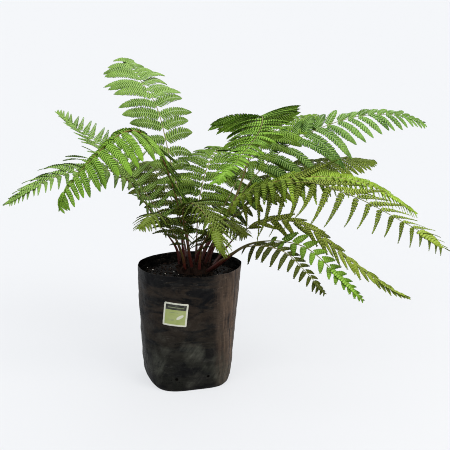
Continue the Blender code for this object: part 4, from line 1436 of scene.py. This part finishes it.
def lay_tip(template, rib, length):
    """Copy a leaflet along the end of the rib, as the blade that the frond ends in."""
    leaflet, points, _ = template
    size = points[:, 0].max()
    places = []
    for x, y, z in points:
        share = 1 - length / rib.length * (1 - x / size)
        outward, normal = rib.axes(share)
        places.append(rib.point(share) + outward * y * TIP_WIDTH + normal * z)
    return add_copy(leaflet, places)


def stray(draw, most):
    """A random number as far as most below or above 0."""
    return draw.uniform(-most, most)


def wear(obj, materials):
    """Give an object its materials in place of those it has."""
    obj.data.materials.clear()
    for material in materials:
        obj.data.materials.append(material)


def finish_leaflet(leaflet, template, materials, share, tone):
    """Give a copied leaflet its green and its place along the frond."""
    wear(leaflet, materials)
    data = template[2].copy()
    data[:, 2] = share
    data[:, 3] = min(max(tone, 0), 1)
    write_leaf_data(leaflet, data)
    return leaflet


def model_frond(frond, index, leaflets, materials):
    """One frond: its rib with a pair of comb leaflets at each place."""
    draw = random.Random(SEED + 10 + index)
    rib = Rib(frond)
    pieces = [model_rib(frond, rib, materials)]
    for number in range(frond.pairs):
        share = pair_share(frond, number)
        along = number / frond.pairs
        closed = along ** SWING_FADE
        loose = LOOSE_TIP + LOOSE_FOOT * (1 - share) ** 2
        for hand, side in ((-1, frond.left), (1, frond.right)):
            length = leaflet_length(frond, number) * side.size * (1 + stray(draw, LENGTH_STRAY))
            side = side._replace(
                swing=side.swing - side.closes * closed + loose * stray(draw, SWING_STRAY),
                curl=side.curl * (1 - closed),
                lift=side.lift + loose * stray(draw, LIFT_STRAY),
                droop=side.droop + loose * stray(draw, LIFT_STRAY),
                twist=side.twist + side.wind * along + loose * stray(draw, TWIST_STRAY))
            fold = stray(draw, FOLD_STRAY)
            template = nearest_leaflet(leaflets, frond.family, length)
            leaflet = lay_leaflet(template, rib, share, hand, length, side, fold, frond.width)
            # Leaflets near the frond's foot get a lower tone, partly for age and partly as painted shade.
            tone = FOOT_TONE + TONE_RISE * share + stray(draw, TONE_STRAY)
            pieces.append(finish_leaflet(leaflet, template, materials, share, tone))
    tip = frond.tip * MM
    template = nearest_leaflet(leaflets, "plain", tip)
    pieces.append(finish_leaflet(lay_tip(template, rib, tip), template, materials, 1.0, TIP_TONE))
    return join(frond.name + "_leaves", pieces)


def model_fronds():
    """Every frond, each standing for its solid."""
    leaflets = model_leaflets()
    stalk = rib_material()
    looks = {}
    for green, (deep, lit) in GREENS.items():
        looks[green] = (leaf_material(f"leaf_{green}", deep, lit), stalk)
    for index, frond in enumerate(FRONDS):
        hand_in(model_frond(frond, index, leaflets, looks[frond.green]), frond.name)
    discard([template[0] for template in leaflets.values()])


def hand_in(piece, node):
    """A piece rides on the only body and stands for a node of the solids."""
    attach(piece, "root")
    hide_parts(node)


add_camera()
add_studio()
bag = model_bag()
bag.data.materials.append(film_material())
hand_in(bag, "planter_bag")
label = model_label()
label.data.materials.append(label_material())
hand_in(label, "plant_label")
hand_in(model_mix(), "potting_mix")
hand_in(model_crown(), "crown")
model_fronds()
